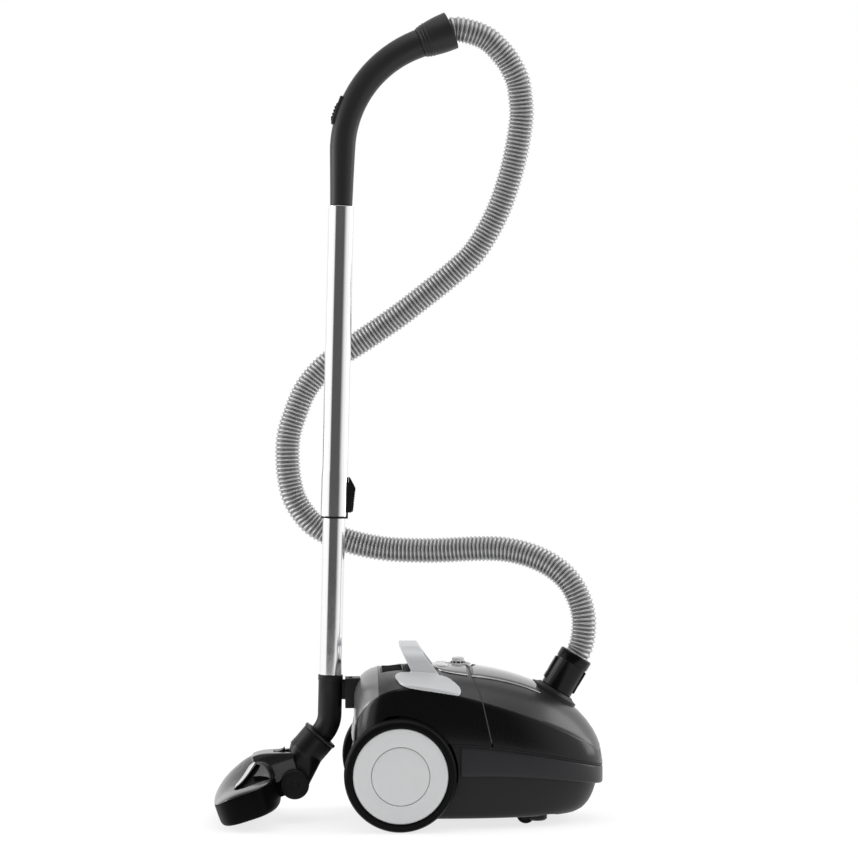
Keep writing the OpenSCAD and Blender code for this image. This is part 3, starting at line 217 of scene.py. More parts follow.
# colour, roughness, (scale, depth) of the grain, dust, specular level, and what else a finish has
FINISHES = {
    "charcoal_plastic": ((0.009, 0.009, 0.0105), 0.42, (1400, 0.14), 0.01, 0.24, {}),
    "grey_plastic": ((0.014, 0.014, 0.016), 0.36, (1400, 0.1), 0.01, 0.28, {}),
    "black_gloss": ((0.0018, 0.0018, 0.0021), 0.24, (600, 0.02), 0.01, 0.2,
                    {"coat": 0.22, "coat_rough": 0.16, "scuffs": 0.04}),
    "black_plastic": ((0.004, 0.004, 0.0044), 0.36, (1600, 0.1), 0.01, 0.26, {}),
    "metallic_grey": ((0.017, 0.017, 0.0185), 0.3, (3000, 0.05), 0.03, 0.35,
                      {"metallic": 0.3, "coat": 0.35, "coat_rough": 0.2, "scuffs": 0.03}),
    "silver_plastic": ((0.58, 0.585, 0.59), 0.38, (2600, 0.04), 0.0, 0.4,
                       {"metallic": 0.12, "coat": 0.15}),
    "handle_silver": ((0.52, 0.525, 0.535), 0.42, (2600, 0.03), 0.0, 0.5,
                      {"metallic": 0.25, "coat": 0.15}),
    "smoked_plastic": ((0.15, 0.15, 0.153), 0.3, (500, 0.02), 0.03, 0.5,
                       {"metallic": 0.3, "coat": 0.5, "coat_rough": 0.22}),
    "pale_plastic": ((0.66, 0.665, 0.67), 0.26, (900, 0.03), 0.03, 0.5, {"coat": 0.3}),
    "seal_grey": ((0.05, 0.05, 0.052), 0.5, (1300, 0.2), 0.02, 0.3, {}),
    "tyre_rubber": ((0.0013, 0.0013, 0.0013), 0.46, (1500, 0.2), 0.006, 0.11, {}),
    "soft_rubber": ((0.005, 0.005, 0.005), 0.5, (1300, 0.3), 0.05, 0.18, {}),
    "chrome_tube": ((0.84, 0.84, 0.85), 0.1, (300, 0.004), 0.0, 0.5,
                    {"metallic": 1.0, "scuffs": 0.03}),
    "steel": ((0.56, 0.56, 0.57), 0.3, (700, 0.1), 0.03, 0.5, {"metallic": 1.0, "scuffs": 0.15}),
    "filter_fleece": ((0.80, 0.80, 0.78), 0.95, (2200, 0.7), 0.03, 0.1, {}),
    "bag_paper": ((0.72, 0.69, 0.62), 0.9, (1200, 0.6), 0.03, 0.1, {}),
    "card": ((0.50, 0.41, 0.28), 0.85, (900, 0.4), 0.03, 0.1, {}),
    "dish_silver": ((0.34, 0.34, 0.35), 0.3, (3000, 0.04), 0.03, 0.4, {"metallic": 0.4}),
    "inlay_gloss": ((0.16, 0.16, 0.165), 0.16, (3000, 0.03), 0.03, 0.5,
                    {"metallic": 0.5, "coat": 0.8}),
    "trim_bright": ((0.75, 0.75, 0.76), 0.15, (500, 0.02), 0.03, 0.5, {"metallic": 1.0}),
    "board_green": ((0.02, 0.13, 0.05), 0.35, (500, 0.3), 0.03, 0.5, {}),
    "hose_plastic": ((0.46, 0.46, 0.465), 0.32, (1200, 0.02), 0.0, 0.5, {"metallic": 0.72}),
    # head_black is the real black of the sole, and also the painted shade that lines the head's
    # pockets
    "head_black": ((0.0014, 0.0014, 0.0016), 0.5, (1400, 0.1), 0.0, 0.07, {}),
    "neck_black": ((0.007, 0.007, 0.0076), 0.42, (1400, 0.08), 0.0, 0.25, {}),
    "connector_gloss": ((0.0015, 0.0015, 0.0017), 0.24, (1400, 0.04), 0.0, 0.14,
                        {"coat": 0.14, "coat_rough": 0.15}),
    "grip_satin": ((0.0155, 0.0155, 0.017), 0.4, (1500, 0.08), 0.0, 0.28, {}),
    "head_satin": ((0.007, 0.007, 0.008), 0.27, (1400, 0.04), 0.01, 0.45,
                   {"coat": 0.5, "coat_rough": 0.22}),
}
MATERIALS = {name: finish_material(name, *row[:-1], **row[-1]) for name, row in FINISHES.items()}


# ---- meshes ----

def put(name, data):
    """Adds an object to the scene."""
    o = bpy.data.objects.new(name, data)
    bpy.context.scene.collection.objects.link(o)
    return o


def mesh_object(name, points, faces):
    mesh = bpy.data.meshes.new(name)
    mesh.from_pydata([tuple(float(c) * MM for c in p) for p in points], [], faces)
    mesh.update()
    return put(name, mesh)


def scaled(point):
    return [c * MM for c in point]


def turn_angles(n):
    """Angles of n even steps round a full turn."""
    return np.linspace(0, 2 * pi, n, endpoint=False)


def stack(name, rings, first=None, last=None):
    """Closed solid from rings of equal count: two end points shut it, or else it loops."""
    m, n = len(rings[0]), len(rings)

    def between(i, k):
        return [(i * m + j, i * m + (j + 1) % m, k * m + (j + 1) % m, k * m + j) for j in range(m)]
    points = [p for r in rings for p in r]
    faces = [f for i in range(n - 1) for f in between(i, i + 1)]
    if first is None:
        faces += between(n - 1, 0)
    else:
        points += [first, last]
        faces += [(n * m, (j + 1) % m, j) for j in range(m)]
        faces += [(n * m + 1, (n - 1) * m + j, (n - 1) * m + (j + 1) % m) for j in range(m)]
    return face_out(mesh_object(name, points, faces))


def face_out(o):
    """Merges doubled points and turns all faces outwards."""
    b = bmesh.new()
    b.from_mesh(o.data)
    bmesh.ops.remove_doubles(b, verts=b.verts, dist=1e-7)
    bmesh.ops.recalc_face_normals(b, faces=b.faces)
    if b.calc_volume(signed=True) < 0:
        bmesh.ops.reverse_faces(b, faces=b.faces)
    b.to_mesh(o.data)
    b.free()
    return o


def apply_all(o):
    """Turns the object's modifiers into plain mesh."""
    bpy.context.view_layer.update()
    done = bpy.data.meshes.new_from_object(
        o.evaluated_get(bpy.context.evaluated_depsgraph_get()))
    o.modifiers.clear()
    old, o.data = o.data, done
    bpy.data.meshes.remove(old)
    return o


def prism(name, outline, lo, hi, axis="Y"):
    """Solid of an outline in the two other axes, from lo to hi along the axis."""
    n, at = len(outline), "XYZ".index(axis)
    points = [(*p[:at], h, *p[at:]) for h in (lo, hi) for p in outline]
    faces = [tuple(range(n)), tuple(range(2 * n - 1, n - 1, -1))]
    faces += [(j, n + j, n + (j + 1) % n, (j + 1) % n) for j in range(n)]
    return face_out(mesh_object(name, points, faces))


def block(name, lo, hi):
    return prism(name, [(lo[0], lo[1]), (hi[0], lo[1]), (hi[0], hi[1]), (lo[0], hi[1])],
                 lo[2], hi[2], "Z")


def lathe(name, profile, place=None, n=96):
    """Solid of revolution of (radius, height) points about local Z, then moved by place."""
    turn = [2 * pi * j / n for j in range(n)]
    rings = [[(r * cos(a), r * sin(a), z) for a in turn] for r, z in profile if r > 1e-6]
    ends = [(0, 0, profile[k][1]) for k in (0, -1)] if profile[0][0] <= 1e-6 else []
    o = stack(name, rings, *ends)
    if place is not None:
        o.data.transform(place)
    return o


def drum(name, r, z0, z1, place=None, n=96):
    return lathe(name, [(0, z0), (r, z0), (r, z1), (0, z1)], place, n)


def boolean(o, operation, others):
    """Applies each of the others to o in turn, and removes them."""
    for other in others:
        m = o.modifiers.new("cut", "BOOLEAN")
        m.operation, m.solver, m.object = operation, "MANIFOLD", other
        apply_all(o)
        bpy.data.objects.remove(other)
    return o


def cut(o, *others):
    return boolean(o, "DIFFERENCE", others)


def join(o, *others):
    return boolean(o, "UNION", others)


def trim(o, *others):
    return boolean(o, "INTERSECT", others)


def smooth(o, angle=32):
    """Smooth faces with sharp edges where the surface turns by more than the angle."""
    o.data.polygons.foreach_set("use_smooth", [True] * len(o.data.polygons))
    o.data.set_sharp_from_angle(angle=radians(angle))


def dress(o, material, body, replaces=(), angle=32):
    """Gives a finished piece its material, its body and the solids that it stands for."""
    smooth(o, angle)
    o.data.materials.clear()
    o.data.materials.append(MATERIALS[material])
    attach(o, body)
    if replaces:
        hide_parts(*replaces)


def turned(tilt, about):
    return Matrix.Rotation(radians(tilt), 4, about)


def frame_at(at, tilt=0.0, about="Y"):
    """Matrix of a frame at a point in millimetres, turned about an axis by degrees."""
    return Matrix.Translation(scaled(at)) @ turned(tilt, about)


def soften(o, width, segments=3, angle=28):
    """Rounds the sharp edges of a solid."""
    m = o.modifiers.new("round", "BEVEL")
    m.width, m.segments = width * MM, segments
    m.limit_method, m.angle_limit = "ANGLE", radians(angle)
    return apply_all(o)


def melt(o, size, passes):
    """Rebuilds a solid on a fine grid and relaxes it, so that its corners flow together."""
    grid = o.modifiers.new("grid", "REMESH")
    grid.mode, grid.voxel_size = "VOXEL", size * MM
    ease = o.modifiers.new("ease", "SMOOTH")
    ease.factor, ease.iterations = 0.5, passes
    return apply_all(o)


def placed(o, matrix):
    o.data.transform(matrix)
    return o


def rounded_copy(node, name, width, angle):
    """The shape of a solid again, with the edges of a moulded piece."""
    source = frame["nodes"][node]
    o = placed(put(name, source.data.copy()), source.matrix_world)
    b = bmesh.new()
    b.from_mesh(o.data)
    bmesh.ops.remove_doubles(b, verts=b.verts, dist=2e-6)
    bmesh.ops.dissolve_limit(b, angle_limit=radians(1.0), verts=b.verts, edges=b.edges)
    b.to_mesh(o.data)
    b.free()
    return soften(o, width, 3, angle)


def hull_of(name, clouds):
    b = bmesh.new()
    for cloud in clouds:
        for q in cloud:
            b.verts.new(scaled(q))
    bmesh.ops.convex_hull(b, input=b.verts)
    bmesh.ops.delete(b, geom=[v for v in b.verts if not v.link_faces], context="VERTS")
    bmesh.ops.recalc_face_normals(b, faces=b.faces)
    mesh = bpy.data.meshes.new(name)
    b.to_mesh(mesh)
    b.free()
    return put(name, mesh)


def smooth_path(points, step, before=None, after=None):
    """Points every step along a curve, led in and out by one more point at each end."""
    p = np.array(points, float)
    p = np.vstack([2 * p[0] - p[1] if before is None else before, p,
                   2 * p[-1] - p[-2] if after is None else after])
    out = []
    for i in range(1, len(p) - 2):
        for t in np.linspace(0, 1, 24, endpoint=False):
            a, b, c, d = p[i - 1:i + 3]
            out.append(0.5 * (2 * b + (c - a) * t + (2 * a - 5 * b + 4 * c - d) * t * t
                              + (3 * b - a - 3 * c + d) * t ** 3))
    out = np.array(out + [p[-2]])
    run = np.concatenate([[0], np.cumsum(np.linalg.norm(np.diff(out, axis=0), axis=1))])
    s = np.linspace(0, run[-1], max(2, int(round(run[-1] / step)) + 1))
    return np.stack([np.interp(s, run, out[:, k]) for k in range(3)], 1), run[-1]


# ---- camera, floor and light ----

VIEW_LENS, VIEW_AT, VIEW_TURN = 116.8, (-0.1267, -3.9219, 0.5496), -2.26
ROOM_GLOW, FLOOR_GLOW, FLOOR_GLOW_SHARE = 0.9, 1.06, 0.72
LAMP_AIM = Vector((0, 0, 0.3))


def camera():
    data = bpy.data.cameras.new("camera")
    data.lens, data.sensor_width = VIEW_LENS, 36.0
    data.clip_start, data.clip_end = 0.1, 100.0
    o = put("camera", data)
    o.location = VIEW_AT
    o.rotation_euler = (radians(90), 0, radians(VIEW_TURN))
    bpy.context.scene.camera = o


def studio():
    """White surroundings, darker behind the viewer, so that gloss keeps its dark bands."""
    world = bpy.data.worlds.new("studio")
    bpy.context.scene.world = world
    t = blank(world)
    way = t.add("SeparateXYZ", {"Vector": t.add("TexCoord").outputs["Generated"]}).outputs
    shown = t.ramp(way["Y"], -0.15, 0.35, 0.1, 1.0)
    for value, start, stop, low, high in (
            (t.maths("MULTIPLY", way["X"], -1.0), 0.66, 0.84, 0.0, 1.12),
            (way["X"], 0.4, 1.0, 0.0, 1.1), (way["Z"], 0.35, 0.95, 0.0, 0.5)):
        shown = t.maths("MAXIMUM", shown, t.ramp(value, start, stop, low, high))
    rays = t.add("LightPath").outputs
    mirrored = t.maths("MAXIMUM", rays["Is Glossy Ray"], rays["Is Transmission Ray"])
    room = t.add("Mix", {0: mirrored, 2: ROOM_GLOW, 3: shown}, data_type="FLOAT").outputs[0]
    strength = t.add("Mix", {0: rays["Is Camera Ray"], 2: room, 3: 1.0}, data_type="FLOAT")
    background = t.add("Background", {"Color": (1, 1, 1, 1), "Strength": strength.outputs[0]})
    t.add("OutputWorld", {0: background.outputs[0]})


def lamp(name, at, size, power):
    data = bpy.data.lights.new(name, "AREA")
    data.shape, data.size, data.size_y, data.energy = "RECTANGLE", size[0], size[1], power
    o = put(name, data)
    o.location = at
    o.rotation_euler = (LAMP_AIM - Vector(at)).to_track_quat("-Z", "Y").to_euler()


def floor():
    reach, low = 2000, -0.4
    o = mesh_object("floor", [(-reach, -reach, low), (reach, -reach, low), (reach, reach, low),
                              (-reach, reach, low)], [(0, 1, 2, 3)])
    m = bpy.data.materials.new("studio_floor")
    t = blank(m)
    plain = t.add("BsdfDiffuse", {"Color": (0.9, 0.9, 0.9, 1)}).outputs[0]
    glow = t.add("Emission", {"Color": (1, 1, 1, 1), "Strength": FLOOR_GLOW}).outputs[0]
    rays = t.add("LightPath").outputs
    mirrored = t.maths("MAXIMUM", rays["Is Glossy Ray"], rays["Is Transmission Ray"])
    seen = t.maths("MAXIMUM", rays["Is Camera Ray"], mirrored)
    seen = t.maths("MULTIPLY", seen, FLOOR_GLOW_SHARE)
    both = t.add("MixShader", {0: seen, 1: plain, 2: glow})
    t.add("OutputMaterial", {0: both.outputs[0]})
    o.data.materials.append(m)


camera()
studio()
floor()
lamp("left_softbox", (-2.8, 0.25, 1.05), (1.5, 1.4), 26)
lamp("top_softbox", (0.1, -0.4, 2.9), (2.4, 1.8), 16)
lamp("right_softbox", (2.6, 0.8, 1.3), (1.2, 2.2), 22)
bpy.context.scene.view_settings.view_transform = "Standard"


# ---- hose ----

HOSE_R, HOSE_ROOT_R = 18.0, 15.7
RIB_PITCH, STEPS = 5.72, 8
UPPER_PATH = [
    (50.2, 0, 1108.1), (60.5, 0, 1112.4), (68, 0, 1113.5), (80, 0, 1111.5), (99, 2, 1106),
    (114, 4, 1098), (127, 6, 1086), (139, 9, 1072), (148, 11, 1057), (155, 14, 1041),
    (158, 17, 1024), (160, 20, 1006), (160, 23, 988), (155, 28, 953), (146, 34, 913),
    (132, 40, 870), (115, 45, 834), (92, 50, 799), (60, 55, 769), (25, 60, 741), (-10, 65, 714),
    (-40, 70, 693), (-70, 73, 673), (-100, 75, 654), (-126, 75, 632), (-148, 74, 603),
    (-164, 72, 563), (-170.2, 70.9, 540), (-172, 70, 516.85)]
LOWER_PATH = [
    (-172, 70, 516.85), (-170, 70, 482), (-161, 70, 448), (-140, 71, 418), (-115, 72, 401),
    (-88, 72, 390), (-56, 70, 382), (-20, 66, 377), (38, 56, 376), (100, 43, 379),
    (138, 34, 378), (173, 25, 370), (204, 16, 355), (227, 9, 334), (241, 4, 308), (247, 1, 282),
    (246, 0, 258), (242, 0, 240.5), (238, 0, 232.8), (231.8, 0, 222.5)]


def corrugated_tube():
    """Turns a line of edges into a ribbed hose, and marks its ribs for the shade painted into its
    grooves.
    """
    t, i, close = geometry_tree("CorrugatedHose", {
        "Crest radius": 0.018, "Root radius": 0.0153, "Steps per rib": 8.0})
    line = t.add("MeshToCurve", {"Mesh": i["Geometry"]}).outputs[0]
    turn = t.maths("FRACT", t.maths("DIVIDE", t.add("InputIndex").outputs[0], i["Steps per rib"]))
    wave = t.maths("COSINE", t.maths("MULTIPLY", turn, 2 * pi))
    wave = t.maths("MAXIMUM", t.maths("MULTIPLY_ADD", wave, 0.62, 0.5), 0.0)
    wave = t.maths("MINIMUM", wave, 1.0)
    depth = t.maths("SUBTRACT", i["Crest radius"], i["Root radius"])
    radius = t.maths("MULTIPLY_ADD", depth, wave, i["Root radius"])
    marked = t.add("StoreNamedAttribute", {"Geometry": line, "Name": "rib", "Value": wave})
    section = t.add("CurvePrimitiveCircle", {"Resolution": 40, "Radius": 1.0}).outputs[0]
    skin = t.add("CurveToMesh", {"Curve": marked.outputs[0], "Profile Curve": section,
                                 "Scale": radius, "Fill Caps": True}).outputs[0]
    return close(skin)


def run_tree(o, tree, inputs):
    """Runs a geometry tree on the object, with its inputs by label, and keeps plain mesh."""
    m = o.modifiers.new("tree", "NODES")
    m.node_group = tree
    for item in tree.interface.items_tree:
        if item.item_type == "SOCKET" and item.in_out == "INPUT" and item.name in inputs:
            m[item.identifier] = inputs[item.name]
    return apply_all(o)


def paint_groove_shade(m):
    """Paints shade into the grooves of the hose, so that they stay darker than its ribs."""
    t = Tree(m.node_tree)
    bsdf = next(n for n in m.node_tree.nodes if n.type == "BSDF_PRINCIPLED")
    tone = bsdf.inputs["Base Color"].links[0].from_socket
    rib = t.add("Attribute", attribute_name="rib").outputs["Fac"]
    # painted shade: a dark grey mixed in where the hose dips between its ribs
    groove_shaded_tone = t.mix(t.ramp(rib, 0.05, 0.8, 0.0, 1.0), (0.17, 0.17, 0.172, 1), tone)
    t.feed(bsdf.inputs["Base Color"], groove_shaded_tone)


paint_groove_shade(MATERIALS["hose_plastic"])
HOSE_TREE = corrugated_tube()


def hose_piece(name, path, node, before=None, after=None, backwards=False):
    """A run of the hose as a cord from its exit, the first point of the path."""
    points, length = smooth_path(path, RIB_PITCH / STEPS, before, after)
    drawn = points[::-1] if backwards else points
    o = mesh_object(name, drawn, [])
    o.data.edges.add(len(drawn) - 1)
    o.data.edges.foreach_set("vertices", [v for k in range(len(drawn) - 1) for v in (k, k + 1)])
    o.data.update()
    run_tree(o, HOSE_TREE, {"Crest radius": HOSE_R * MM, "Root radius": HOSE_ROOT_R * MM,
                            "Steps per rib": float(STEPS), "Finish": MATERIALS["hose_plastic"]})
    smooth(face_out(o), 60)
    o.data.materials.clear()
    o.data.materials.append(MATERIALS["hose_plastic"])
    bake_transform(o)
    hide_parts(node)


hose_piece("hose_low_run", LOWER_PATH[::-1],
           "hose_lower", after=UPPER_PATH[-2], backwards=True)
hose_piece("hose_high_run", UPPER_PATH[::-1],
           "hose_upper", before=LOWER_PATH[1])


# ---- form of the housing ----

HALF_W, NOSE_LEN, TAIL_LEN, MID_X, CROWN_H, NOSE_Z = 118.0, 229.0, 125.0, 44.0, 138.0, 80.0
WALL, SEAT = 2.6, 0.3
NOSE_N, TAIL_N = 2.3, 5.0
SHOULDER_DX, SHOULDER_DY, SHOULDER_X = 2.4, 9.0, 5.0
SHOULDER_Z, SHOULDER_NOSE_Z, SHOULDER_TAIL_Z = NOSE_Z + 114.5, NOSE_Z + 20, NOSE_Z + 30
PART_Z, PART_X = NOSE_Z + 38, 64.0
REAR_X, NOSE_X = MID_X - TAIL_LEN, MID_X + NOSE_LEN
AXLE_X, WHEEL_R, ARCH_Y, ARCH_R = -16.0, 77.0, 112.0, 80.0
HINGE_X, HOOD_GAP = 80.0, 2.0
KNOB_X, KEY_X, KEY_Y, PORT_X = 69, 46, 26, 204.0
OUT = 240  # half width of the cutters, past both sides of the housing


def signed_pow(c, p):
    return np.sign(c) * np.abs(c) ** p


def arc_height(u, n):
    return np.maximum(0, 1 - np.minimum(1, np.abs(u)) ** n) ** (1 / n)


def plan(a, dx, dy):
    """Outline of the housing seen from above, moved inwards by dx and dy."""
    c, s = np.cos(a), np.sin(a)
    n = np.where(c > 0, NOSE_N, TAIL_N)
    return (MID_X + (np.where(c > 0, NOSE_LEN, TAIL_LEN) - dx) * signed_pow(c, 2 / n),
            (HALF_W - dy) * signed_pow(s, 2 / n))


def even_angles(count):
    """Angles whose points lie evenly along the outline."""
    q = np.linspace(0, 1, 4001)
    eased_q = np.where(q < 0.5, 0.5 * (2 * q) ** 3, 1 - 0.5 * (2 - 2 * q) ** 3)[:-1]
    a = np.concatenate([(k + eased_q) * pi / 2 for k in range(4)] + [[2 * pi]])
    x, y = plan(a, 0.0, 0.0)
    run = np.concatenate([[0], np.cumsum(np.hypot(np.diff(x), np.diff(y)))])
    return np.interp(np.linspace(0, run[-1], count, endpoint=False), run, a)


def top_z(x):
    x = np.asarray(x, float)
    return NOSE_Z + CROWN_H * np.where(
        x > MID_X, arc_height((x - MID_X) / NOSE_LEN, 2), arc_height((MID_X - x) / TAIL_LEN, 6))


def ridge_z(x):
    """Height of the shoulder line between flank and crown."""
    x = np.asarray(x, float)
    fore = np.clip((x - SHOULDER_X) / (NOSE_X - 9 - SHOULDER_X), 0, 1)
    front = SHOULDER_NOSE_Z + (SHOULDER_Z - SHOULDER_NOSE_Z) * np.maximum(0, 1 - fore ** 1.3) ** 0.8
    back = SHOULDER_TAIL_Z + (SHOULDER_Z - SHOULDER_TAIL_Z) * arc_height(
        np.clip((SHOULDER_X - x) / (SHOULDER_X - REAR_X), 0, 1), 2.3)
    return np.where(x > SHOULDER_X, front, back)


def parting_z(x):
    """Height of the line between upper housing and bowl."""
    x = np.asarray(x, float)
    fall = np.clip((x - PART_X) / (NOSE_X - PART_X), 0, 1) ** 1.5
    return np.where(x < PART_X, PART_Z, PART_Z - (PART_Z - NOSE_Z) * fall)


def ridge_half_w(x):
    return (HALF_W - SHOULDER_DY) * np.where(
        x > MID_X, arc_height((x - MID_X) / (NOSE_LEN - SHOULDER_DX), NOSE_N),
        arc_height((x - MID_X) / (TAIL_LEN - SHOULDER_DX), TAIL_N))


def crown_z(x, y):
    x, y = np.asarray(x, float), np.asarray(y, float)
    zt, w = top_z(x), np.maximum(1, ridge_half_w(x))
    return zt - (zt - ridge_z(x)) * np.minimum(1, np.abs(y) / w) ** 2.2


ANGLES = even_angles(220)


def ring(x, y, z):
    return np.stack([x, y, np.broadcast_to(z, x.shape)], 1)


def flank_ring(h, d):
    """Ring of the flank at share h from parting line to shoulder, moved inwards by d."""
    dx = 0.8 * 4 * h * (1 - h) + SHOULDER_DX * h * (2 * h - 1)
    dy = 2.4 * 4 * h * (1 - h) + SHOULDER_DY * h * (2 * h - 1)
    x, y = plan(ANGLES, d + dx, d + dy)
    x0, _ = plan(ANGLES, d, d)
    x2, _ = plan(ANGLES, SHOULDER_DX, SHOULDER_DY)
    low, high = parting_z(x0), ridge_z(x2) - 0.6 * d
    return ring(x, y, low + (high - low) * h)


def crown_ring(t, d, edge=0.0):
    """Ring of the crown at share t from its middle to the shoulder, moved inwards by d."""
    px, py = plan(ANGLES, d + SHOULDER_DX, d + SHOULDER_DY)
    qx, qy = plan(ANGLES, SHOULDER_DX, SHOULDER_DY)
    z = np.where(t > 0.999, ridge_z(qx), crown_z(MID_X + t * (qx - MID_X), t * qy))
    return ring(MID_X + t * (px - MID_X), t * py, z - (0.6 if t > 0.999 else 1.0) * d - edge)


CROWN_STEPS = [1.0, 0.992, 0.975, 0.95, 0.91, 0.86, 0.8, 0.73, 0.65, 0.56, 0.46, 0.35, 0.23, 0.11]
SUMMIT_Z = float(top_z(MID_X))


def flank_shell(name):
    outer = [flank_ring(h, 0.0) for h in np.linspace(0, 0.96, 13)]
    lip = [flank_ring(0.985, 0.25), flank_ring(1.0, 0.9)]
    return stack(name, outer + lip + [flank_ring(h, WALL) for h in (1.0, 0.66, 0.33, 0.0)])


def crown_shell(name):
    inner = [crown_ring(t, WALL) for t in CROWN_STEPS[::-1] if t < 0.98]
    lip = [crown_ring(1.0, 1.6), crown_ring(0.9995, 0.7, 0.1)]
    outer = [crown_ring(t, 0.0) for t in CROWN_STEPS[1:]]
    return stack(name, inner + lip + outer, (MID_X, 0, SUMMIT_Z - WALL), (MID_X, 0, SUMMIT_Z))


def housing_solid(name, d):
    """The whole upper housing as one solid, moved inwards by d."""
    rings = [flank_ring(h, d) for h in np.linspace(0, 1, 9)]
    rings += [crown_ring(t, d) for t in CROWN_STEPS[1:]]
    return stack(name, rings, (MID_X, 0, NOSE_Z - 30), (MID_X, 0, SUMMIT_Z - d))


HINGE_Z = float(top_z(HINGE_X)) - 4
SEAM_TOP, SEAM_FOOT = HINGE_Z + 60, HINGE_X + 36
SEAM = [(HINGE_X + 2, SEAM_TOP), (HINGE_X + 2, HINGE_Z), (HINGE_X + 16, 177),
        (HINGE_X + 29, PART_Z), (SEAM_FOOT, NOSE_Z)]
PORT = frame_at((PORT_X, 0, float(top_z(PORT_X)) - 2.5), 31)


def rear_zone():
    return prism("zone", [(-300, 0), (-300, SEAM_TOP)] + SEAM + [(SEAM_FOOT, 0)], -OUT, OUT)


def hood_zone():
    line = [(x + HOOD_GAP, z) for x, z in SEAM + [(SEAM_FOOT, 0)]]
    return prism("zone", [(400, SEAM_TOP)] + line + [(400, 0)], -OUT, OUT)


def wheel_place(side):
    """Frame of a rear wheel whose local Z points outwards from the floor of its arch."""
    return frame_at((AXLE_X, side * ARCH_Y, WHEEL_R), -90 * side, "X")


def arch_cutters():
    return [drum("cut", ARCH_R, 0, 60, wheel_place(s), 128) for s, _tag in SIDES]


def latch_cutter():
    play = 0.4
    return block("cut", (NOSE_X - 30, -20 - play, NOSE_Z + 4 - play),
                 (NOSE_X + 10, 20 + play, NOSE_Z + 19 + play))


def dial_hole(r, low, high):
    return drum("cut", r, low, high, frame_at((KNOB_X, 0, 0)))


def key_holes(r):
    return [drum("cut", r, 190, 260, frame_at((KEY_X, s * KEY_Y, 0))) for s, _tag in SIDES]


# flanks
rear_flank = trim(flank_shell("rear_flank"), rear_zone())
dress(cut(rear_flank, *arch_cutters()), "black_gloss", "canister", ["rear_shell"])
hood_flank = trim(flank_shell("hood_flank"), hood_zone())
dress(cut(hood_flank, latch_cutter()), "black_gloss", "hood", ["hood_shell"])

# crown, whose rear part reaches round the dial into the hood
crown_cover = trim(crown_shell("crown_cover"), join(rear_zone(), dial_hole(21, 100, 300)),
                   block("front", (-44.7, -200, 0), (400, 200, 320)))
cut(crown_cover, block("cut", (-41, -48, 190), (-8, 48, 260)), dial_hole(14, 190, 260),
    *key_holes(8.4))
dress(crown_cover, "metallic_grey", "canister", ["top_cover"])
tail_cover = trim(crown_shell("tail_cover"), block("zone", (-245, -200, 0), (-45, 200, 320)))
dress(tail_cover, "smoked_plastic", "canister", ["rear_cover"])
hood_crown = trim(crown_shell("hood_crown"), hood_zone())
cut(hood_crown, dial_hole(23, 150, 260), drum("cut", 35.3, -40, 40, PORT), latch_cutter())
dress(hood_crown, "metallic_grey", "hood", ["hood_top"])

# soft seal between the fixed housing and the hood
seam = [(x + 0.15, z) for x, z in SEAM] + [(x + HOOD_GAP - 0.25, z) for x, z in SEAM[::-1]]
seal = trim(housing_solid("hood_seal", 0.35), prism("zone", seam, -OUT, OUT))
cut(seal, housing_solid("cut", 2.2), dial_hole(23, 100, 300),
    block("cut", (0, -200, 0), (300, 200, PART_Z + 1)))
dress(seal, "seal_grey", "canister")

# bowl, with the rim that carries the upper housing: inset in x and in y, and height
BOWL = [(45, 24, 0), (37.5, 18, 0.8), (34, 15, 2.5), (29, 12, 5.2), (25, 10, 9), (20.6, 8.2, 14),
        (17, 7, 20), (13.4, 5.9, 28), (10.5, 5, 37)]
BOWL_Z = 13
RIM_DX, RIM_DY, TONGUE = 8.5, 3.5, 3.0
CASTOR_X, CASTOR_Y, ROLL_X, ROLL_R = 177, 48, 161, 13


def bowl_rings(d):
    """Rings of the bowl from its floor to its rim, moved inwards by d."""
    rings = []
    for k, (dx, dy, z) in enumerate(BOWL):
        x, y = plan(ANGLES, dx + d, dy + d)
        rings.append(ring(x, y, BOWL_Z + z + (0.4 * d if k else d)))
    return rings


def rim_ring(dx, dy, dz):
    x, y = plan(ANGLES, dx, dy)
    return ring(x, y, parting_z(x) - dz)


TONGUE_Z = SEAT + TONGUE
lower_bowl = stack(
    "lower_bowl", bowl_rings(0.0)
    + [rim_ring(*row) for row in (
        (RIM_DX, RIM_DY, TONGUE_Z), (0.9, 0.9, TONGUE_Z), (SEAT, SEAT, TONGUE_Z - 0.6),
        (SEAT, SEAT, SEAT + 0.4), (0.8, 0.8, SEAT), (RIM_DX + WALL, RIM_DY + WALL, SEAT))]
    + bowl_rings(WALL)[::-1], (MID_X, 0, BOWL_Z), (MID_X, 0, BOWL_Z + WALL))
cut(lower_bowl, *arch_cutters(), *[
    drum("cut", 30.5, 0, 31, frame_at((CASTOR_X, s * CASTOR_Y, 0)), 96) for s, _tag in SIDES])
dress(lower_bowl, "charcoal_plastic", "canister", ["lower_housing"])


def bowl_solid(d, *rims, low, drop):
    """The bowl without its hollow, moved inwards by d."""
    return stack("keep", bowl_rings(d) + [rim_ring(RIM_DX + 1, RIM_DY + 1, TONGUE_Z), *rims],
                 (MID_X, 0, low), (MID_X, 0, PART_Z - drop))


def arch_wall(side, tag):
    """Floor and rim of a wheel arch, trimmed to the skin of the housing."""
    cup = lathe("arch_wall_" + tag, [(0, -2.4), (82.4, -2.4), (82.4, 7.0), (80, 7.0), (80, 0),
                                     (0, 0)], wheel_place(side), 128)
    whole = join(housing_solid("keep", 0.8), bowl_solid(1.2, rim_ring(2, 2, 2), low=14.5, drop=20))
    dress(trim(cup, whole), "black_plastic", "canister")


for side, tag in SIDES:
    arch_wall(side, tag)


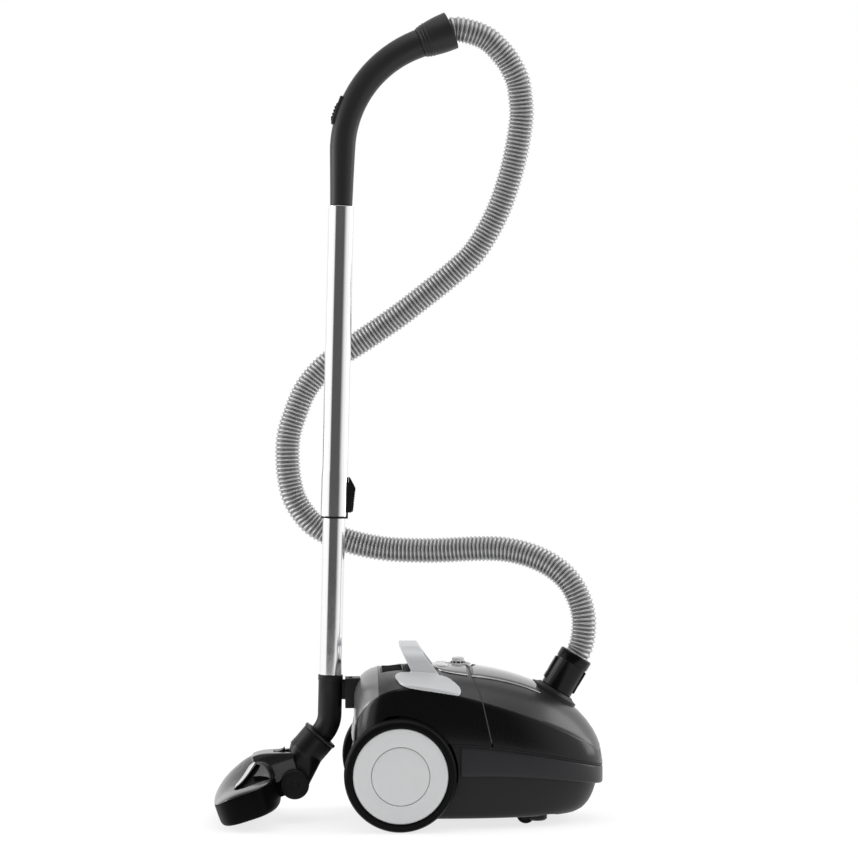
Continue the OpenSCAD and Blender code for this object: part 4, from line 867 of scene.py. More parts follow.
def bumper_ring(d, t):
    x, y = plan(ANGLES, d * RIM_DX, d * RIM_DY)
    low = NOSE_Z - 6.5 - 22 * np.maximum(0, (x - 94) / (NOSE_X - 94)) ** 2
    high = parting_z(x) - TONGUE - 2 * SEAT
    return ring(x, y, low + (high - low) * t)


bumper_band = stack("bumper_band", [bumper_ring(*row) for row in (
    (0.94, 0.0), (0.42, 0.0), (0.26, 0.015), (0.13, 0.05), (0.04, 0.11), (0.0, 0.2), (0.0, 0.88),
    (0.04, 0.95), (0.14, 0.99), (0.24, 1.0), (0.94, 1.0))])
trim(bumper_band, block("zone", (68, -200, 0), (468, 200, 200)))
dress(bumper_band, "grey_plastic", "canister", ["bumper"])


# ---- raised panels of hood and rear crown, and their bright edges ----

INLAY_X0, INLAY_X1, PANEL_END = 88, 180, 79.4


def inlay_width(x):
    return 58 + (44 - 58) * (x - INLAY_X0) / (INLAY_X1 - INLAY_X0)


def rear_width(x):
    return 57.6 * max(0.0, 1 - ((84 - x) / 56) ** 4) ** 0.5


def crown_panel(name, x0, x1, width):
    """Raised panel whose edges are rounded down to the crown."""
    nx, ny, foot, rise = 46, 40, 0.5, 1.7
    outer, inner = [], []
    for x in np.linspace(x0, x1, nx):
        for v in np.linspace(-1, 1, ny):
            y = v * width(x)
            z = float(crown_z(x, y))
            side = max(0.0, 1 - (abs(v) ** 26))
            end = max(0.0, 1 - abs((2 * x - x0 - x1) / (x1 - x0)) ** 40)
            outer.append((x, y, z + foot + rise * (side * end) ** 0.5))
            inner.append((x, y, z + 0.3))
    n, faces = nx * ny, []
    for i in range(nx - 1):
        for a in range(i * ny, i * ny + ny - 1):
            b = a + n
            faces += [(a, a + ny, a + ny + 1, a + 1), (b, b + 1, b + ny + 1, b + ny)]
    rim = [j for j in range(ny)] + [i * ny + ny - 1 for i in range(1, nx)]
    rim += [(nx - 1) * ny + j for j in range(ny - 2, -1, -1)]
    rim += [i * ny for i in range(nx - 2, 0, -1)]
    faces += [(a, b, b + n, a + n) for a, b in zip(rim, rim[1:] + rim[:1])]
    return face_out(mesh_object(name, outer + inner, faces))


hood_panel = crown_panel("hood_panel", INLAY_X0, INLAY_X1, inlay_width)
cut(hood_panel, dial_hole(25, 150, 260), drum("cut", 36.2, -20, 40, PORT))
dress(hood_panel, "inlay_gloss", "hood", ["hood_inlay"])
rear_panel = crown_panel("control_panel", 30.5, PANEL_END, rear_width)
cut(rear_panel, dial_hole(18.4, 150, 260), *key_holes(8.5))
dress(rear_panel, "inlay_gloss", "canister")


def edge_strip(name, body, xs, width, side):
    """Bright trim that runs along the lower edge of a panel."""
    rings = []
    for x in xs:
        y = side * (width(x) + 1.2)
        z = float(crown_z(x, y))
        rings.append([(x, y + side * cos(b), z + 0.7 + sin(b)) for b in turn_angles(12)])
    dress(stack(name, rings, rings[0][0], rings[-1][0]), "trim_bright", body)


for side, tag in SIDES:
    edge_strip("panel_trim_" + tag, "hood", np.linspace(85, 182, 50), inlay_width, side)
    edge_strip("control_trim_" + tag, "canister", np.linspace(40, PANEL_END, 30), rear_width, side)


# ---- control island on the crown ----

def turned_piece(name, profile, place, material, body, nodes=(), n=96):
    dress(lathe(name, profile, place, n), material, body, nodes)


KNOB_AT = frame_at((KNOB_X, 0, float(top_z(KNOB_X))))
turned_piece("dial_dish", [
    (3.05, -7), (13.7, -7), (13.7, 0.7), (17.5, 0.8), (18, 1.15), (17.7, 1.75), (16.6, 2.6),
    (15.4, 3.2), (14.5, 3.4), (13.6, 3.3), (12.7, 2.7), (12.15, 1.9), (11.6, 1.5), (11, 1.4),
    (3.05, 1.4)], KNOB_AT, "dish_silver", "canister", ["control_dish"])


def ribbed_ring():
    """Repeats a small rib round the local Z axis."""
    t, i, close = geometry_tree("RibbedRing", {
        "Count": 24, "Radius": 0.008, "Width": 0.001, "Height": 0.003})
    circle = t.add("MeshCircle", {"Vertices": i["Count"], "Radius": i["Radius"]}).outputs[0]
    size = t.add("ShaderNodeCombineXYZ", {"X": i["Width"], "Y": i["Width"], "Z": i["Height"]})
    rib = t.add("MeshCylinder", {"Vertices": 10, "Radius": 1.0, "Depth": 1.0}).outputs[0]
    rib = t.add("Transform", {"Geometry": rib, "Scale": size.outputs[0]}).outputs[0]
    joined = t.add("JoinGeometry")
    for part in (t.on_points(circle, rib), i["Geometry"]):
        t.feed(joined.inputs[0], part)
    return close(joined.outputs[0])


knob = lathe("suction_dial", [
    (0, 5.4), (9.2, 5.4), (9.3, 5.7), (8.9, 6.1), (8.2, 6.3), (8.4, 6.9), (8.5, 9.2), (8.2, 10.1),
    (7.6, 10.7), (6.6, 10.9), (0, 11)], None, 72)
cut(knob, block("cut", (2.5, -0.5, 10.5), (8, 0.5, 12)))
RIB_H = 0.0036
placed(knob, Matrix.Translation((0, 0, -RIB_H)))
run_tree(knob, ribbed_ring(), {"Count": 10, "Radius": 0.0098, "Width": 0.00075, "Height": RIB_H,
                               "Finish": MATERIALS["silver_plastic"]})
placed(knob, KNOB_AT @ Matrix.Translation((0, 0, RIB_H)))
dress(knob, "silver_plastic", "suction_knob", ["suction_knob"])
turned_piece("dial_skirt", [
    (0, -12), (5, -12), (5, -8.5), (3, -8.5), (3, 1.7), (10.3, 1.7), (10.4, 2.2), (9.5, 5.3),
    (0, 5.35)], KNOB_AT, "black_plastic", "suction_knob", n=72)
for name, y in (("power", KEY_Y), ("rewind", -KEY_Y)):
    turned_piece(name + "_key", [
        (0, -8), (10, -8), (10, -5.6), (8, -5.6), (8, 1.8), (7.85, 2.5), (7.4, 3.1), (6.6, 3.45),
        (5.6, 3.5), (3, 3.2), (0, 3.1)], frame_at((KEY_X, y, float(crown_z(KEY_X, y)))),
        "pale_plastic", name + "_button", [name + "_button"], 64)


# ---- carry handle ----

def round_plan(circles):
    """Outline round a row of circles, as their hull."""
    turn = turn_angles(24)
    pts = np.array(sorted((x + r * cos(a), y + r * sin(a)) for x, y, r in circles for a in turn))

    def half(row):
        out = []
        for q in row:
            while len(out) > 1 and np.cross(out[-1] - out[-2], q - out[-2]) <= 0:
                out.pop()
            out.append(q)
        return out[:-1]
    return [tuple(q) for q in half(pts) + half(pts[::-1])]


def arch_outline(inset):
    r, w, z = 26.0 - inset, 72.0 - inset, 248.0 - inset
    right = [(w - r + r * cos(a), z - r + r * sin(a)) for a in np.linspace(0, pi / 2, 12)]
    return [(w, 150)] + right + [(-y, zz) for y, zz in right[::-1]] + [(-w, 150)]


def carry_handle():
    """Bridge of the handle, with a pad on each flank that follows the housing."""
    arch = prism("handle", arch_outline(0), -100, 200, "X")
    cut(arch, prism("cut", arch_outline(13), -101, 201, "X"))
    side = [(22, 168), (6, 203), (-6, 228), (-13.5, 243), (-13, 249.5), (11, 249.5), (14, 244),
            (25, 228), (44, 203), (67, 168)]
    trim(arch, prism("cut", side, -OUT, OUT))
    shell = housing_solid("pads", -3.4)
    pad = round_plan([(-10, 78, 12), (4, 90, 22), (38, 95, 21), (55, 103, 13)])
    pads = join(prism("keep", pad, 150, 240, "Z"),
                prism("keep", [(x, -y) for x, y in pad], 150, 240, "Z"))
    lower, _ = smooth_path([(-24, 0, 206), (-17, 0, 198.5), (-4, 0, 194.2), (12, 0, 191.6),
                            (34, 0, 188.3), (56, 0, 184.8), (66, 0, 183.6), (70, 0, 188)], 2.0)
    edge = [(x, z) for x, _y, z in lower] + [(70, 240), (-24, 240)]
    trim(shell, trim(pads, prism("cut", edge, -OUT, OUT)))
    cut(join(arch, shell), housing_solid("cut", -0.3))
    melt(arch, 1.0, 10)
    dress(arch, "handle_silver", "canister", ["carry_handle"], angle=60)


carry_handle()

# ---- hose port and connector ----

turned_piece("port_ring", [
    (19.05, -24), (23, -24), (23, -9), (34.6, -9), (35, -8.6), (35, 1.6), (34.7, 2.4), (34.1, 2.8),
    (33, 3.0), (32.5, 2.75), (32, 3.25), (30.9, 3.75), (30.3, 3.6), (29.8, 4.15), (28.6, 4.85),
    (28.0, 4.75), (27.5, 5.4), (26.6, 6.4), (25.6, 6.95), (24.9, 7), (19.05, 7)],
    PORT, "charcoal_plastic", "hood", ["port_collar"], 120)
connector = lathe("hose_swivel", [
    (16.5, -22), (18.4, -22), (19, -21.2), (19, 7.5), (22.3, 7.5), (23, 8.2), (23, 49.2),
    (23.3, 50.2), (24, 50.8), (24, 61.6), (23.6, 62.9), (22.6, 63.8), (21.4, 64), (18.9, 64),
    (18.3, 63.5), (18.3, 34), (16.5, 33.6)], None, 120)
cut(connector, *[block("cut", (x, -7.3, 13.7), (x + 12.1, 7.3, 48.3)) for x in (-31.0, 18.9)])
dress(placed(connector, PORT), "connector_gloss", "connector", ["hose_connector"])


def release_key(name, node, key):
    """Finger key with a dished pad and a row of ridges."""
    side = [(21.15, 14), (24.2, 14), (25.0, 15.2), (25.2, 18)]
    side += [(25.2 - 0.9 * sin(pi * f), 18 + 14 * f) for f in np.linspace(0, 1, 9)[1:-1]]
    side += [(25.2, 32)] + [p for z in (33.2, 36.2, 39.2, 42.2) for p in (
        (25.2, z), (24.6, z + 0.4), (24.6, z + 1.2), (25.2, z + 1.6))]
    side += [(25.1, 46.6), (24.2, 47.8), (21.15, 48)]
    o = prism(name, [(key * r, z) for r, z in side], -7, 7)
    trim(o, drum("keep", 25.15, 10, 60))
    dress(placed(soften(o, 0.35, 2, 35), PORT), "black_plastic", node, [node])


release_key("rear_key", "connector_key_rear", -1)
release_key("front_key", "connector_key_front", 1)

# ---- wheels ----

DISC = [(5.05, 2), (11, 2), (11, 21.5), (61, 24.5), (61, 3), (64.6, 3), (65, 3.4), (65, 27.6),
        (64.7, 28.6), (63.8, 29.4), (62.4, 29.9), (58, 30.1), (50, 30.3), (42, 30.45), (40.6, 30.4),
        (40.2, 30.0), (40.2, 27.6), (5.05, 25)]
HUB_CAP = [(0, 27.6), (39.2, 27.6), (39.4, 27.9), (39.4, 29.6), (39.1, 30.2), (38.4, 30.5),
           (34, 30.7), (20, 31.2), (8, 31.4), (0, 31.5)]
TREAD = [(65, 3), (73, 3), (75, 3.8), (76.2, 5.2), (76.8, 7.2), (77, 9.2), (76.3, 9.6),
         (76.3, 10.4), (77, 10.8), (77, 19.2), (76.3, 19.6), (76.3, 20.4), (77, 20.8), (76.9, 22.6),
         (76.3, 25), (75.2, 27.2), (74.1, 28.4), (73.3, 28.9), (72.7, 28.5), (72.3, 28.9),
         (71, 29.6), (68.6, 30), (66.6, 29.9), (65.4, 29.3), (65, 28.6)]
for side, tag in SIDES:
    for name, profile, finish, node, n in (
            ("rim_", DISC, "silver_plastic", "wheel_", 160),
            ("hub_cap_", HUB_CAP, "silver_plastic", "wheel_cap_", 128),
            ("tyre_ring_", TREAD, "tyre_rubber", "tyre_", 160)):
        turned_piece(name + tag, profile, wheel_place(side), finish, tag + "_wheel",
                     [node + tag], n)

# ---- wand, grip and cuff ----

WAND_LEAN = 1.3
WAND = frame_at((-110.6, 0, 204), WAND_LEAN)
BEND_R, BEND, BEND_Z = 165.0, radians(66), 738.0
TUBE_TOP = 659.0
STRAIGHT = BEND_Z - TUBE_TOP


def bent_ring(x, z, a, r):
    """Ring round a point of a bent tube, whose axis leans by a from local Z towards X."""
    return [(x + r * cos(f) * cos(a), r * sin(f), z - r * cos(f) * sin(a)) for f in turn_angles(56)]


def grip_station(s, r):
    """Ring at length s from the lower end of the grip."""
    if s < STRAIGHT:
        return bent_ring(0, TUBE_TOP + s, 0, r)
    a = min((s - STRAIGHT) / BEND_R, BEND)
    rest = s - STRAIGHT - a * BEND_R
    return bent_ring(BEND_R * (1 - cos(a)) + rest * sin(a),
                     BEND_Z + BEND_R * sin(a) + rest * cos(a), a, r)


def grip_body():
    """Grip with the pod of the air slider, and the slider's ridged key."""
    end = STRAIGHT + BEND_R * BEND + 8
    rows = [(-34, 16.8), (-33, 17.35), (-0.4, 17.35), (-0.05, 15.4), (0.4, 15.5), (3, 15.7)]
    rows += [(s, 15.7 + 2.3 * min(1, s / 84) ** 1.2) for s in np.linspace(8, 84, 10)]
    rows += [(s, 18.0 + 2.1 * ((s - 84) / (end - 84)) ** 2.2)
             for s in np.linspace(94, end - 0.8, 30)]
    rows += [(end - 0.2, 19.9), (end, 19.4), (end + 0.1, 16.8), (end + 12, 16.8)]
    rows += [(end + 12, 12.8), (end - 20, 12.6)]
    rows += [(s, 12.4) for s in np.linspace(end - 40, 60, 14)] + [(-34, 13.5)]
    o = stack("grip_shell", [grip_station(s, r) for s, r in rows])
    slider_at = frame_at((165, 0, 738), 18) @ frame_at((-165, 0, 0)) @ turned(180, "Z")
    join(o, placed(soften(block("pod", (13.8, -8, -21), (20.3, 8, 21)), 2.2, 4), slider_at))
    cut(o, placed(block("cut", (18.3, -6, -17), (30, 6, 17)), slider_at))
    dress(placed(o, WAND), "grip_satin", "wand_upper", ["grip"])
    key = soften(block("air_key", (18.6, -5.7, -16.7), (21.6, 5.7, 9.7)), 0.9, 3)
    ridge = [(0, -5.2), (1.0, -5.2), (1.2, -4.8), (1.2, 4.8), (1.0, 5.2), (0, 5.2)]
    for k in range(4):
        join(key, lathe("rib", ridge, frame_at((21.7, 0, -12 + 5 * k), 90, "X"), 20))
    dress(placed(key, WAND @ slider_at), "black_plastic", "air_slider", ["air_slider"])


grip_body()
CUFF = WAND @ frame_at((97.9, 0, 888.73), 66)
CUFF_FOOT = 8.3
SWELL = [(0, 20.4), (4.8, 21.97), (9.6, 23.27), (15.8, 24.43), (24, 25.6), (33.6, 26.5),
         (48, 26.95)]
RIDGES, RIDGE_R, RIDGE_H = (3.8, 8.3, 12.8), 0.85, 0.75


def cuff():
    """Bell-shaped cuff with three fine ridges round its neck."""
    curve, _ = smooth_path([(z, r, 0) for z, r in SWELL], 0.4)
    rows = [(16.85, CUFF_FOOT), (19.9, CUFF_FOOT)]
    for z, r, _y in curve[1:-1]:
        ridge = sum(max(0.0, 1 - ((z - c) / RIDGE_R) ** 2) ** 0.5 for c in RIDGES
                    if abs(z - c) < RIDGE_R)
        rows.append((r + RIDGE_H * ridge, CUFF_FOOT + z))
    rows += [(26.95, 55.2), (26.8, 55.9), (26.3, 56.3), (25.6, 56.4), (19.1, 56.3), (18.4, 55.7),
             (18.3, 22.3), (16.85, 22.3)]
    turned_piece("cuff_ring", rows, CUFF, "grip_satin", "hose_cuff", ["hose_cuff"])


cuff()


def chrome_tube(name, node, body, r, z0, z1, holes=(), foot=()):
    """Chromed tube, with a row of lock holes or a flared foot."""
    wall = 0.8
    outer = list(foot) or [(r, z0 + 0.2)]
    profile = [(outer[0][0] - wall, z0), (outer[0][0] - 0.15, z0)] + outer
    profile += [(r, z1 - 0.2), (r - 0.15, z1), (r - wall, z1)]
    profile += [(q - wall, z) for q, z in outer[:0:-1]]
    o = lathe(name, profile, None, 128)
    for z in holes:
        cut(o, drum("cut", 3, -2, 2, frame_at((r - 0.5, 0, z), 90), 32))
    dress(placed(o, WAND), "chrome_tube", body, [node])


chrome_tube("outer_tube", "upper_tube", "wand_upper", 18.25, 223, TUBE_TOP, foot=[
    (19.0, 223.2), (19.0, 278), (18.9, 280), (18.6, 283.5), (18.3, 287), (18.25, 289)])
chrome_tube("inner_tube", "lower_tube", "wand_lower", 15.9, 0, 413,
            holes=[245 + 22 * k for k in range(7)])

# lock sleeve, without the lug below its finger key, and the key
sleeve = rounded_copy("lock_sleeve", "tube_sleeve", 0.5, 40)
dress(sleeve, "black_plastic", "wand_upper", ["lock_sleeve"])
cut(sleeve, placed(block("cut", (19.3, -20, 220), (40, 20, 228.6)), WAND))
key = prism("lock_key", [
    (19.4, 229.5), (25.6, 229.5), (26.4, 232), (28.9, 258), (29.1, 263), (27.6, 266.5), (21.6, 277),
    (20.2, 278.5), (19.4, 278.5)], -6.5, 6.5)
soften(key, 1.6, 4, 25)
for k in range(5):
    cut(key, drum("cut", 0.7, -8, 8, frame_at((27.5 + 0.3 * k, 0, 243 + 3.4 * k), 90, "X"), 24))
dress(placed(key, WAND), "black_plastic", "lock_slider", ["lock_slider"], angle=40)

# ---- neck and swivel collar ----

ELBOW_R, ELBOW_Z, ELBOW_TILT, NECK_R = 43.0, -54.8, 39.2, 16.8
ELBOW = radians(ELBOW_TILT)


def elbow_point(a):
    """Middle of the neck where it has turned by the angle."""
    return -ELBOW_R * (1 - cos(a)), ELBOW_Z - ELBOW_R * sin(a)


def neck_tube():
    """Neck with its elbow, and the web and hook that park the wand."""
    rows = [(35, 14.6), (34.4, 15.4), (0.1, 15.42), (0.05, NECK_R), (-0.3, 17.3), (-1.0, 17.4),
            (-7.4, 17.4), (-8.1, 17.1), (-8.6, NECK_R), (-30, NECK_R), (ELBOW_Z, NECK_R)]
    bend = [(*elbow_point(a), a) for a in np.linspace(0, ELBOW, 13)]
    ex, ez, _ = bend[-1]

    def past(s, r):
        return bent_ring(ex - s * sin(ELBOW), ez - s * cos(ELBOW), ELBOW, r)
    rings = [bent_ring(0, z, 0, r) for z, r in rows] + [bent_ring(*b, NECK_R) for b in bend[1:]]
    rings += [past(s, r) for s, r in ((4.6, NECK_R), (5.0, 17.4), (5.2, 19.6), (5.6, 20),
                                      (24.6, 20), (25, 19.6), (25, 13.5))]
    rings += [bent_ring(*b, 13.4) for b in bend[::-3]] + [bent_ring(0, 35, 0, 13.5)]
    o = placed(stack("neck_elbow", rings), WAND)
    web = join(block("web", (-16.4, -2.5, 1), (1, 2.5, 29)),
               block("tee", (0, -10, 0), (4.4, 10, 29)))
    soften(web, 0.7, 3, 40)
    join(o, placed(web, frame_at((-85.6, 0, 168), WAND_LEAN)))
    dress(o, "neck_black", "wand_lower", ["neck"])


neck_tube()
SWIVEL_X, SWIVEL_Z = elbow_point(ELBOW)
SWIVEL = WAND @ frame_at((SWIVEL_X, 0, SWIVEL_Z), ELBOW_TILT + 180)
HEAD = frame_at((-160.5, 0, 54), -18) @ turned(180, "Z")
PEDAL = frame_at((7, 0, 0))  # in the frame of the head
ACROSS = turned(90, "X")  # local Z along the head's width


def disc_cloud(matrix, r, z0, z1):
    return [tuple(c / MM for c in (matrix @ (Vector((r * cos(a), r * sin(a), z)) * MM)))
            for z in (z0, z1) for a in turn_angles(40)]


def swivel_collar():
    """Collar that flows from the neck's round end into the cross shaft of the head."""
    across = HEAD @ ACROSS
    o = lathe("collar_shell", [(0, 7), (25, 7), (25, 38), (23.5, 41), (0, 41)], SWIVEL)
    join(o, hull_of("web", [disc_cloud(SWIVEL, 24.4, 30, 40), disc_cloud(across, 18.6, -24, 24)]))
    join(o, drum("cut", 19.4, -25, 25, across))
    melt(o, 0.9, 8)
    lip = [(0, 3), (25.6, 3), (26.2, 3.5), (26.2, 6.4), (25.7, 7.1), (0, 7.4)]
    join(o, lathe("lip", lip, SWIVEL))
    cut(o, drum("cut", 20.1, -2, 25.5, SWIVEL), drum("cut", 13.5, 20, 62, SWIVEL, 64))
    for k in range(3):
        z = 3.1 * k
        rib = lathe("rib", [(24, 31.4 + z), (25.5, 31.6 + z), (25.9, 32.2 + z), (25.5, 32.8 + z),
                            (24, 33 + z)])
        trim(rib, prism("keep", [(0, -14), (40, -14), (40, 14), (0, 14)], 20, 60, "Z"))
        join(o, placed(rib, SWIVEL))
    dress(o, "black_plastic", "swivel", ["swivel_collar"], angle=40)


swivel_collar()


# ---- floor head, in its own frame: u forwards, v up from the pivot ----

def eased(points):
    """A smooth line through the points, as a function of the first coordinate."""
    run, _ = smooth_path([(u, v, 0) for u, v in points], 0.5)
    return lambda u: np.interp(u, run[:, 0], run[:, 1])


RIM = eased([(20, 19), (75, 19), (100, 15.5), (115, 11)])
HUMP = eased([(-40, 35), (-12, 42), (-7, 43.5), (7, 47.5), (26, 52.8), (41, 54.4), (57, 51.6),
              (74, 45.2), (91, 36.4), (104, 27.5), (115, 19)])
ENDS = eased([(24, 24), (68, 26), (90, 24), (104, 19.5), (115, 14)])
HEAD_MID, HEAD_HALF_L, HEAD_HALF_W, HEAD_N = 69.0, 45.0, 130.0, 3.4
HEAD_A = np.array([
    (k + (0.5 * (2 * q) ** 2.4 if q < 0.5 else 1 - 0.5 * (2 - 2 * q) ** 2.4)) * pi / 2
    for k in range(4) for q in np.linspace(0, 1, 46)[:-1]])


def head_plan(d):
    return (HEAD_MID + (HEAD_HALF_L - d) * signed_pow(np.cos(HEAD_A), 2 / HEAD_N),
            (HEAD_HALF_W - d) * signed_pow(np.sin(HEAD_A), 2 / HEAD_N))


def head_roof(u, y):
    share = 0.5 + 0.5 * np.cos(np.pi * np.minimum(1, np.abs(y) / 84))
    return ENDS(u) + (HUMP(u) - ENDS(u)) * share


def dome_ring(t, d):
    px, py = head_plan(d)
    qx, qy = head_plan(0)
    rim = RIM(qx)
    rise = head_roof(HEAD_MID + t * (qx - HEAD_MID), t * qy) - d - rim
    return ring(HEAD_MID + t * (px - HEAD_MID), t * py, rim + rise * (1 - t ** 5) ** (1 / 3))


def dome(name, d):
    """Roof of the head as a solid, moved inwards by d and then reaching down to the pivot."""
    rings = [ring(*head_plan(d), 0.0)] if d > 0 else []
    rings += [dome_ring(t, d) for t in (1, 0.995, 0.98, 0.955, 0.92, 0.87, 0.8, 0.72, 0.62, 0.5,
                                        0.38, 0.25, 0.12)]
    return stack(name, rings, (HEAD_MID, 0, 0.0 if d > 0 else 19.0),
                 (HEAD_MID, 0, float(head_roof(HEAD_MID, 0.0)) - d))


def swivel_block(name, d):
    u0, u1, low, w = (-40 if d > 0 else -10), 46 - d, 9.3 - 2 * d, 31.5 - d
    line = [(u, float(HUMP(u)) - d) for u in np.linspace(u0, u1, 24)]
    o = prism(name, [(u0, low)] + line + [(u1, low)], -70, 70)
    return trim(o, prism("keep", [(-w, 0), (-w, 36), (3 - w, 48), (11 - w, 62), (w - 11, 62),
                                  (w - 3, 48), (w, 36), (w, 0)], -50, 100, "X"))


def oval(name, a, b, z0, z1):
    return prism(name, [(a * cos(f), (b - a) * (1 if sin(f) >= 0 else -1) + a * sin(f))
                        for f in turn_angles(48)], z0, z1, "Z")


WEDGE = [(80, 82), (76.5, 75), (59, 53), (42.5, 33), (37, 37), (42, 48), (52, 62), (64, 76),
         (74, 88)]
TONGUE_CUT = [(80, 86), (74, 80), (64, 73), (51, 58), (40, 61.5), (31, 67), (27, 73), (30.5, 79),
              (38, 84.5), (52, 96), (64, 106), (75, 101)]


def inset_outline(points, by):
    """Outline moved inwards by a small distance."""
    pts = np.array(points, float)
    after = np.roll(pts, -1, 0)
    turn = np.sign(np.sum(pts[:, 0] * after[:, 1] - after[:, 0] * pts[:, 1]))
    side = sum(np.array([(-v[1], v[0]) / np.hypot(*v) for v in run])
               for run in (after - pts, pts - np.roll(pts, 1, 0)))
    side = side / np.maximum(0.5, np.sum(side * side, 1) / 2)[:, None]
    return [tuple(q) for q in pts + turn * by * side]


def pocket_outline(sign, by=0.0):
    """Pocket of the floor head as a tall solid: a wedge and the tongue beside it."""
    name = "head_pocket_" + ("left" if sign < 0 else "right")
    return join(*[prism(name, [(u, sign * y) for u, y in inset_outline(line, by)], 10, 70, "Z")
                  for line in (WEDGE, TONGUE_CUT)])


def pocket_shade_liner(sign):
    """Black cup that lines a pocket of the floor head, as painted shade in the recess."""
    o = trim(pocket_outline(sign), dome("keep", 0.25))
    hollow = cut(pocket_outline(sign, 0.6), dome("floor", 4.2))
    cut(o, dome("cut", 5.2), hollow)
    # painted shade: the liner's flat black stands in for the shade inside the pocket
    dress(placed(o, HEAD), "head_black", "head", angle=40)


def head_cover():
    o = join(dome("head_shell", 0), swivel_block("block", 0))
    cut(o, dome("cut", 6), swivel_block("cut", 3.0), drum("cut", 21, -27.3, 27.3, ACROSS))
    to_head = HEAD.inverted() @ SWIVEL
    for pitch in (-25, -16, -8, 0, 3):
        cut(o, drum("cut", 26.8, -10, 54, turned(pitch, "Y") @ to_head))
    melt(o, 1.1, 7)
    for sign in (1, -1):
        cut(o, cut(pocket_outline(sign), dome("floor", 5.2)))
        pocket_shade_liner(sign)
    cut(o, placed(oval("cut", 9.2, 13.8, 40, 80), PEDAL))
    dress(placed(o, HEAD), "head_satin", "head", ["head_cover"], angle=40)


def head_top(u, y):
    """Height of the dome over its plan."""
    lu, ly = abs(u - HEAD_MID) / HEAD_HALF_L, abs(y) / HEAD_HALF_W
    t = (lu ** HEAD_N + ly ** HEAD_N) ** (1 / HEAD_N)
    rim = float(RIM(HEAD_MID + (u - HEAD_MID) / max(t, 1e-6)))
    return rim + (float(head_roof(u, y)) - rim) * max(0.0, 1 - t ** 5) ** (1 / 3)


def trim_bar(sign):
    """Bright bar that follows the roof along the inner edge of the pocket."""
    a, b = np.array((76.5, 73.5)), np.array((43.5, 30.5))
    side = np.array((b - a)[::-1]) * (1, -1)
    side = side / np.linalg.norm(side)
    if side @ np.array((1, -1)) < 0:
        side = -side
    rings = []
    for f in np.linspace(0, 1, 26):
        w = 2.9 * min(1, 0.25 + 6 * f, 0.4 + 5 * (1 - f))
        row = []
        for g, h in ((0, -1.0), (0, 0.5), (0.12, 1.0), (0.3, 1.25), (0.7, 1.25), (0.88, 1.0),
                     (1, 0.5), (1, -1.0)):
            u, y = a + (b - a) * f + side * 2 * w * g
            row.append((u, sign * y, float(head_top(u, y)) + h))
        rings.append(row)
    o = stack("head_trim_" + ("left" if sign < 0 else "right"), rings, np.mean(rings[0], 0),
              np.mean(rings[-1], 0))
    dress(placed(o, HEAD), "trim_bright", "head")


head_cover()
trim_bar(1)
trim_bar(-1)


def head_base():
    """Sole of the head, with the hinge cheeks, the brush slots and the well of the rollers."""
    rings = [ring(*head_plan(d), v) for d, v in (
        (4.5, -17), (3.3, -16.7), (1.9, -15.4), (1.2, -13.6), (0.7, -11), (0.25, -2), (0.05, 8))]
    qx, _ = head_plan(0)
    rings += [ring(*head_plan(d), RIM(qx) - drop)
              for d, drop in ((0.0, 1.4), (0.15, 0.6), (0.7, 0.3), (3.0, 0.3))]
    rings.append(ring(*head_plan(4.0), -12))
    o = stack("head_base", rings, (HEAD_MID, 0, -17), (HEAD_MID, 0, -12))
    for lo, hi in ((27.3, 31.5), (-31.5, -27.3)):
        join(o, block("cheek", (0, lo, -11), (25.5, hi, 9)),
             drum("cheek", 11, lo, hi, turned(-90, "X"), 64))
    cut(o, *[block("cut", *corners) for corners in (
        ((66, -108, -30), (86, 108, -5)), ((57.1, -102.4, -30), (61.4, 102.4, -5)),
        ((90.6, -102.4, -30), (94.9, 102.4, -5)), ((19, -20, -9), (33, 20, 13)),
        ((19, -31.8, 9.01), (33, 31.8, 31)))], drum("cut", 3.05, -40, 40, ACROSS, 48))
    dress(placed(o, HEAD), "head_black", "head", ["head_sole"], angle=35)


head_base()


def foot_rocker():
    """Dished foot pedal with its pin."""
    o = oval("foot_rocker", 8, 13, 43.8, 50.8)
    cut(o, drum("cut", 15, -20, 20, frame_at((0, 0, 63.6), 90, "X")))
    soften(o, 0.9, 3, 40)
    join(o, drum("pin", 1.5, -19, 19, frame_at((0, 0, 45.3), 90, "X"), 24))
    placed(o, HEAD @ PEDAL)
    dress(o, "black_plastic", "head_pedal", ["head_pedal"], angle=40)


foot_rocker()
ROLLER = [(0, -6), (5, -6), (5.8, -5.2), (15.6, -5.2), (16.2, -5.9), (18.4, -6), (19.5, -5.5),
          (20, -4.5), (20, 4.5), (19.5, 5.5), (18.4, 6), (16.2, 5.9), (15.6, 5.2), (5.8, 5.2),
          (5, 6), (0, 6)]
rollers = lathe("carriage_rollers", ROLLER, frame_at((0, 39, 0), 90, "X"))
join(rollers, lathe("other", ROLLER, frame_at((0, -39, 0), 90, "X")),
     drum("rod", 3, -45, 45, ACROSS, 32))
dress(placed(rollers, HEAD), "soft_rubber", "rollers", ["head_rollers"])


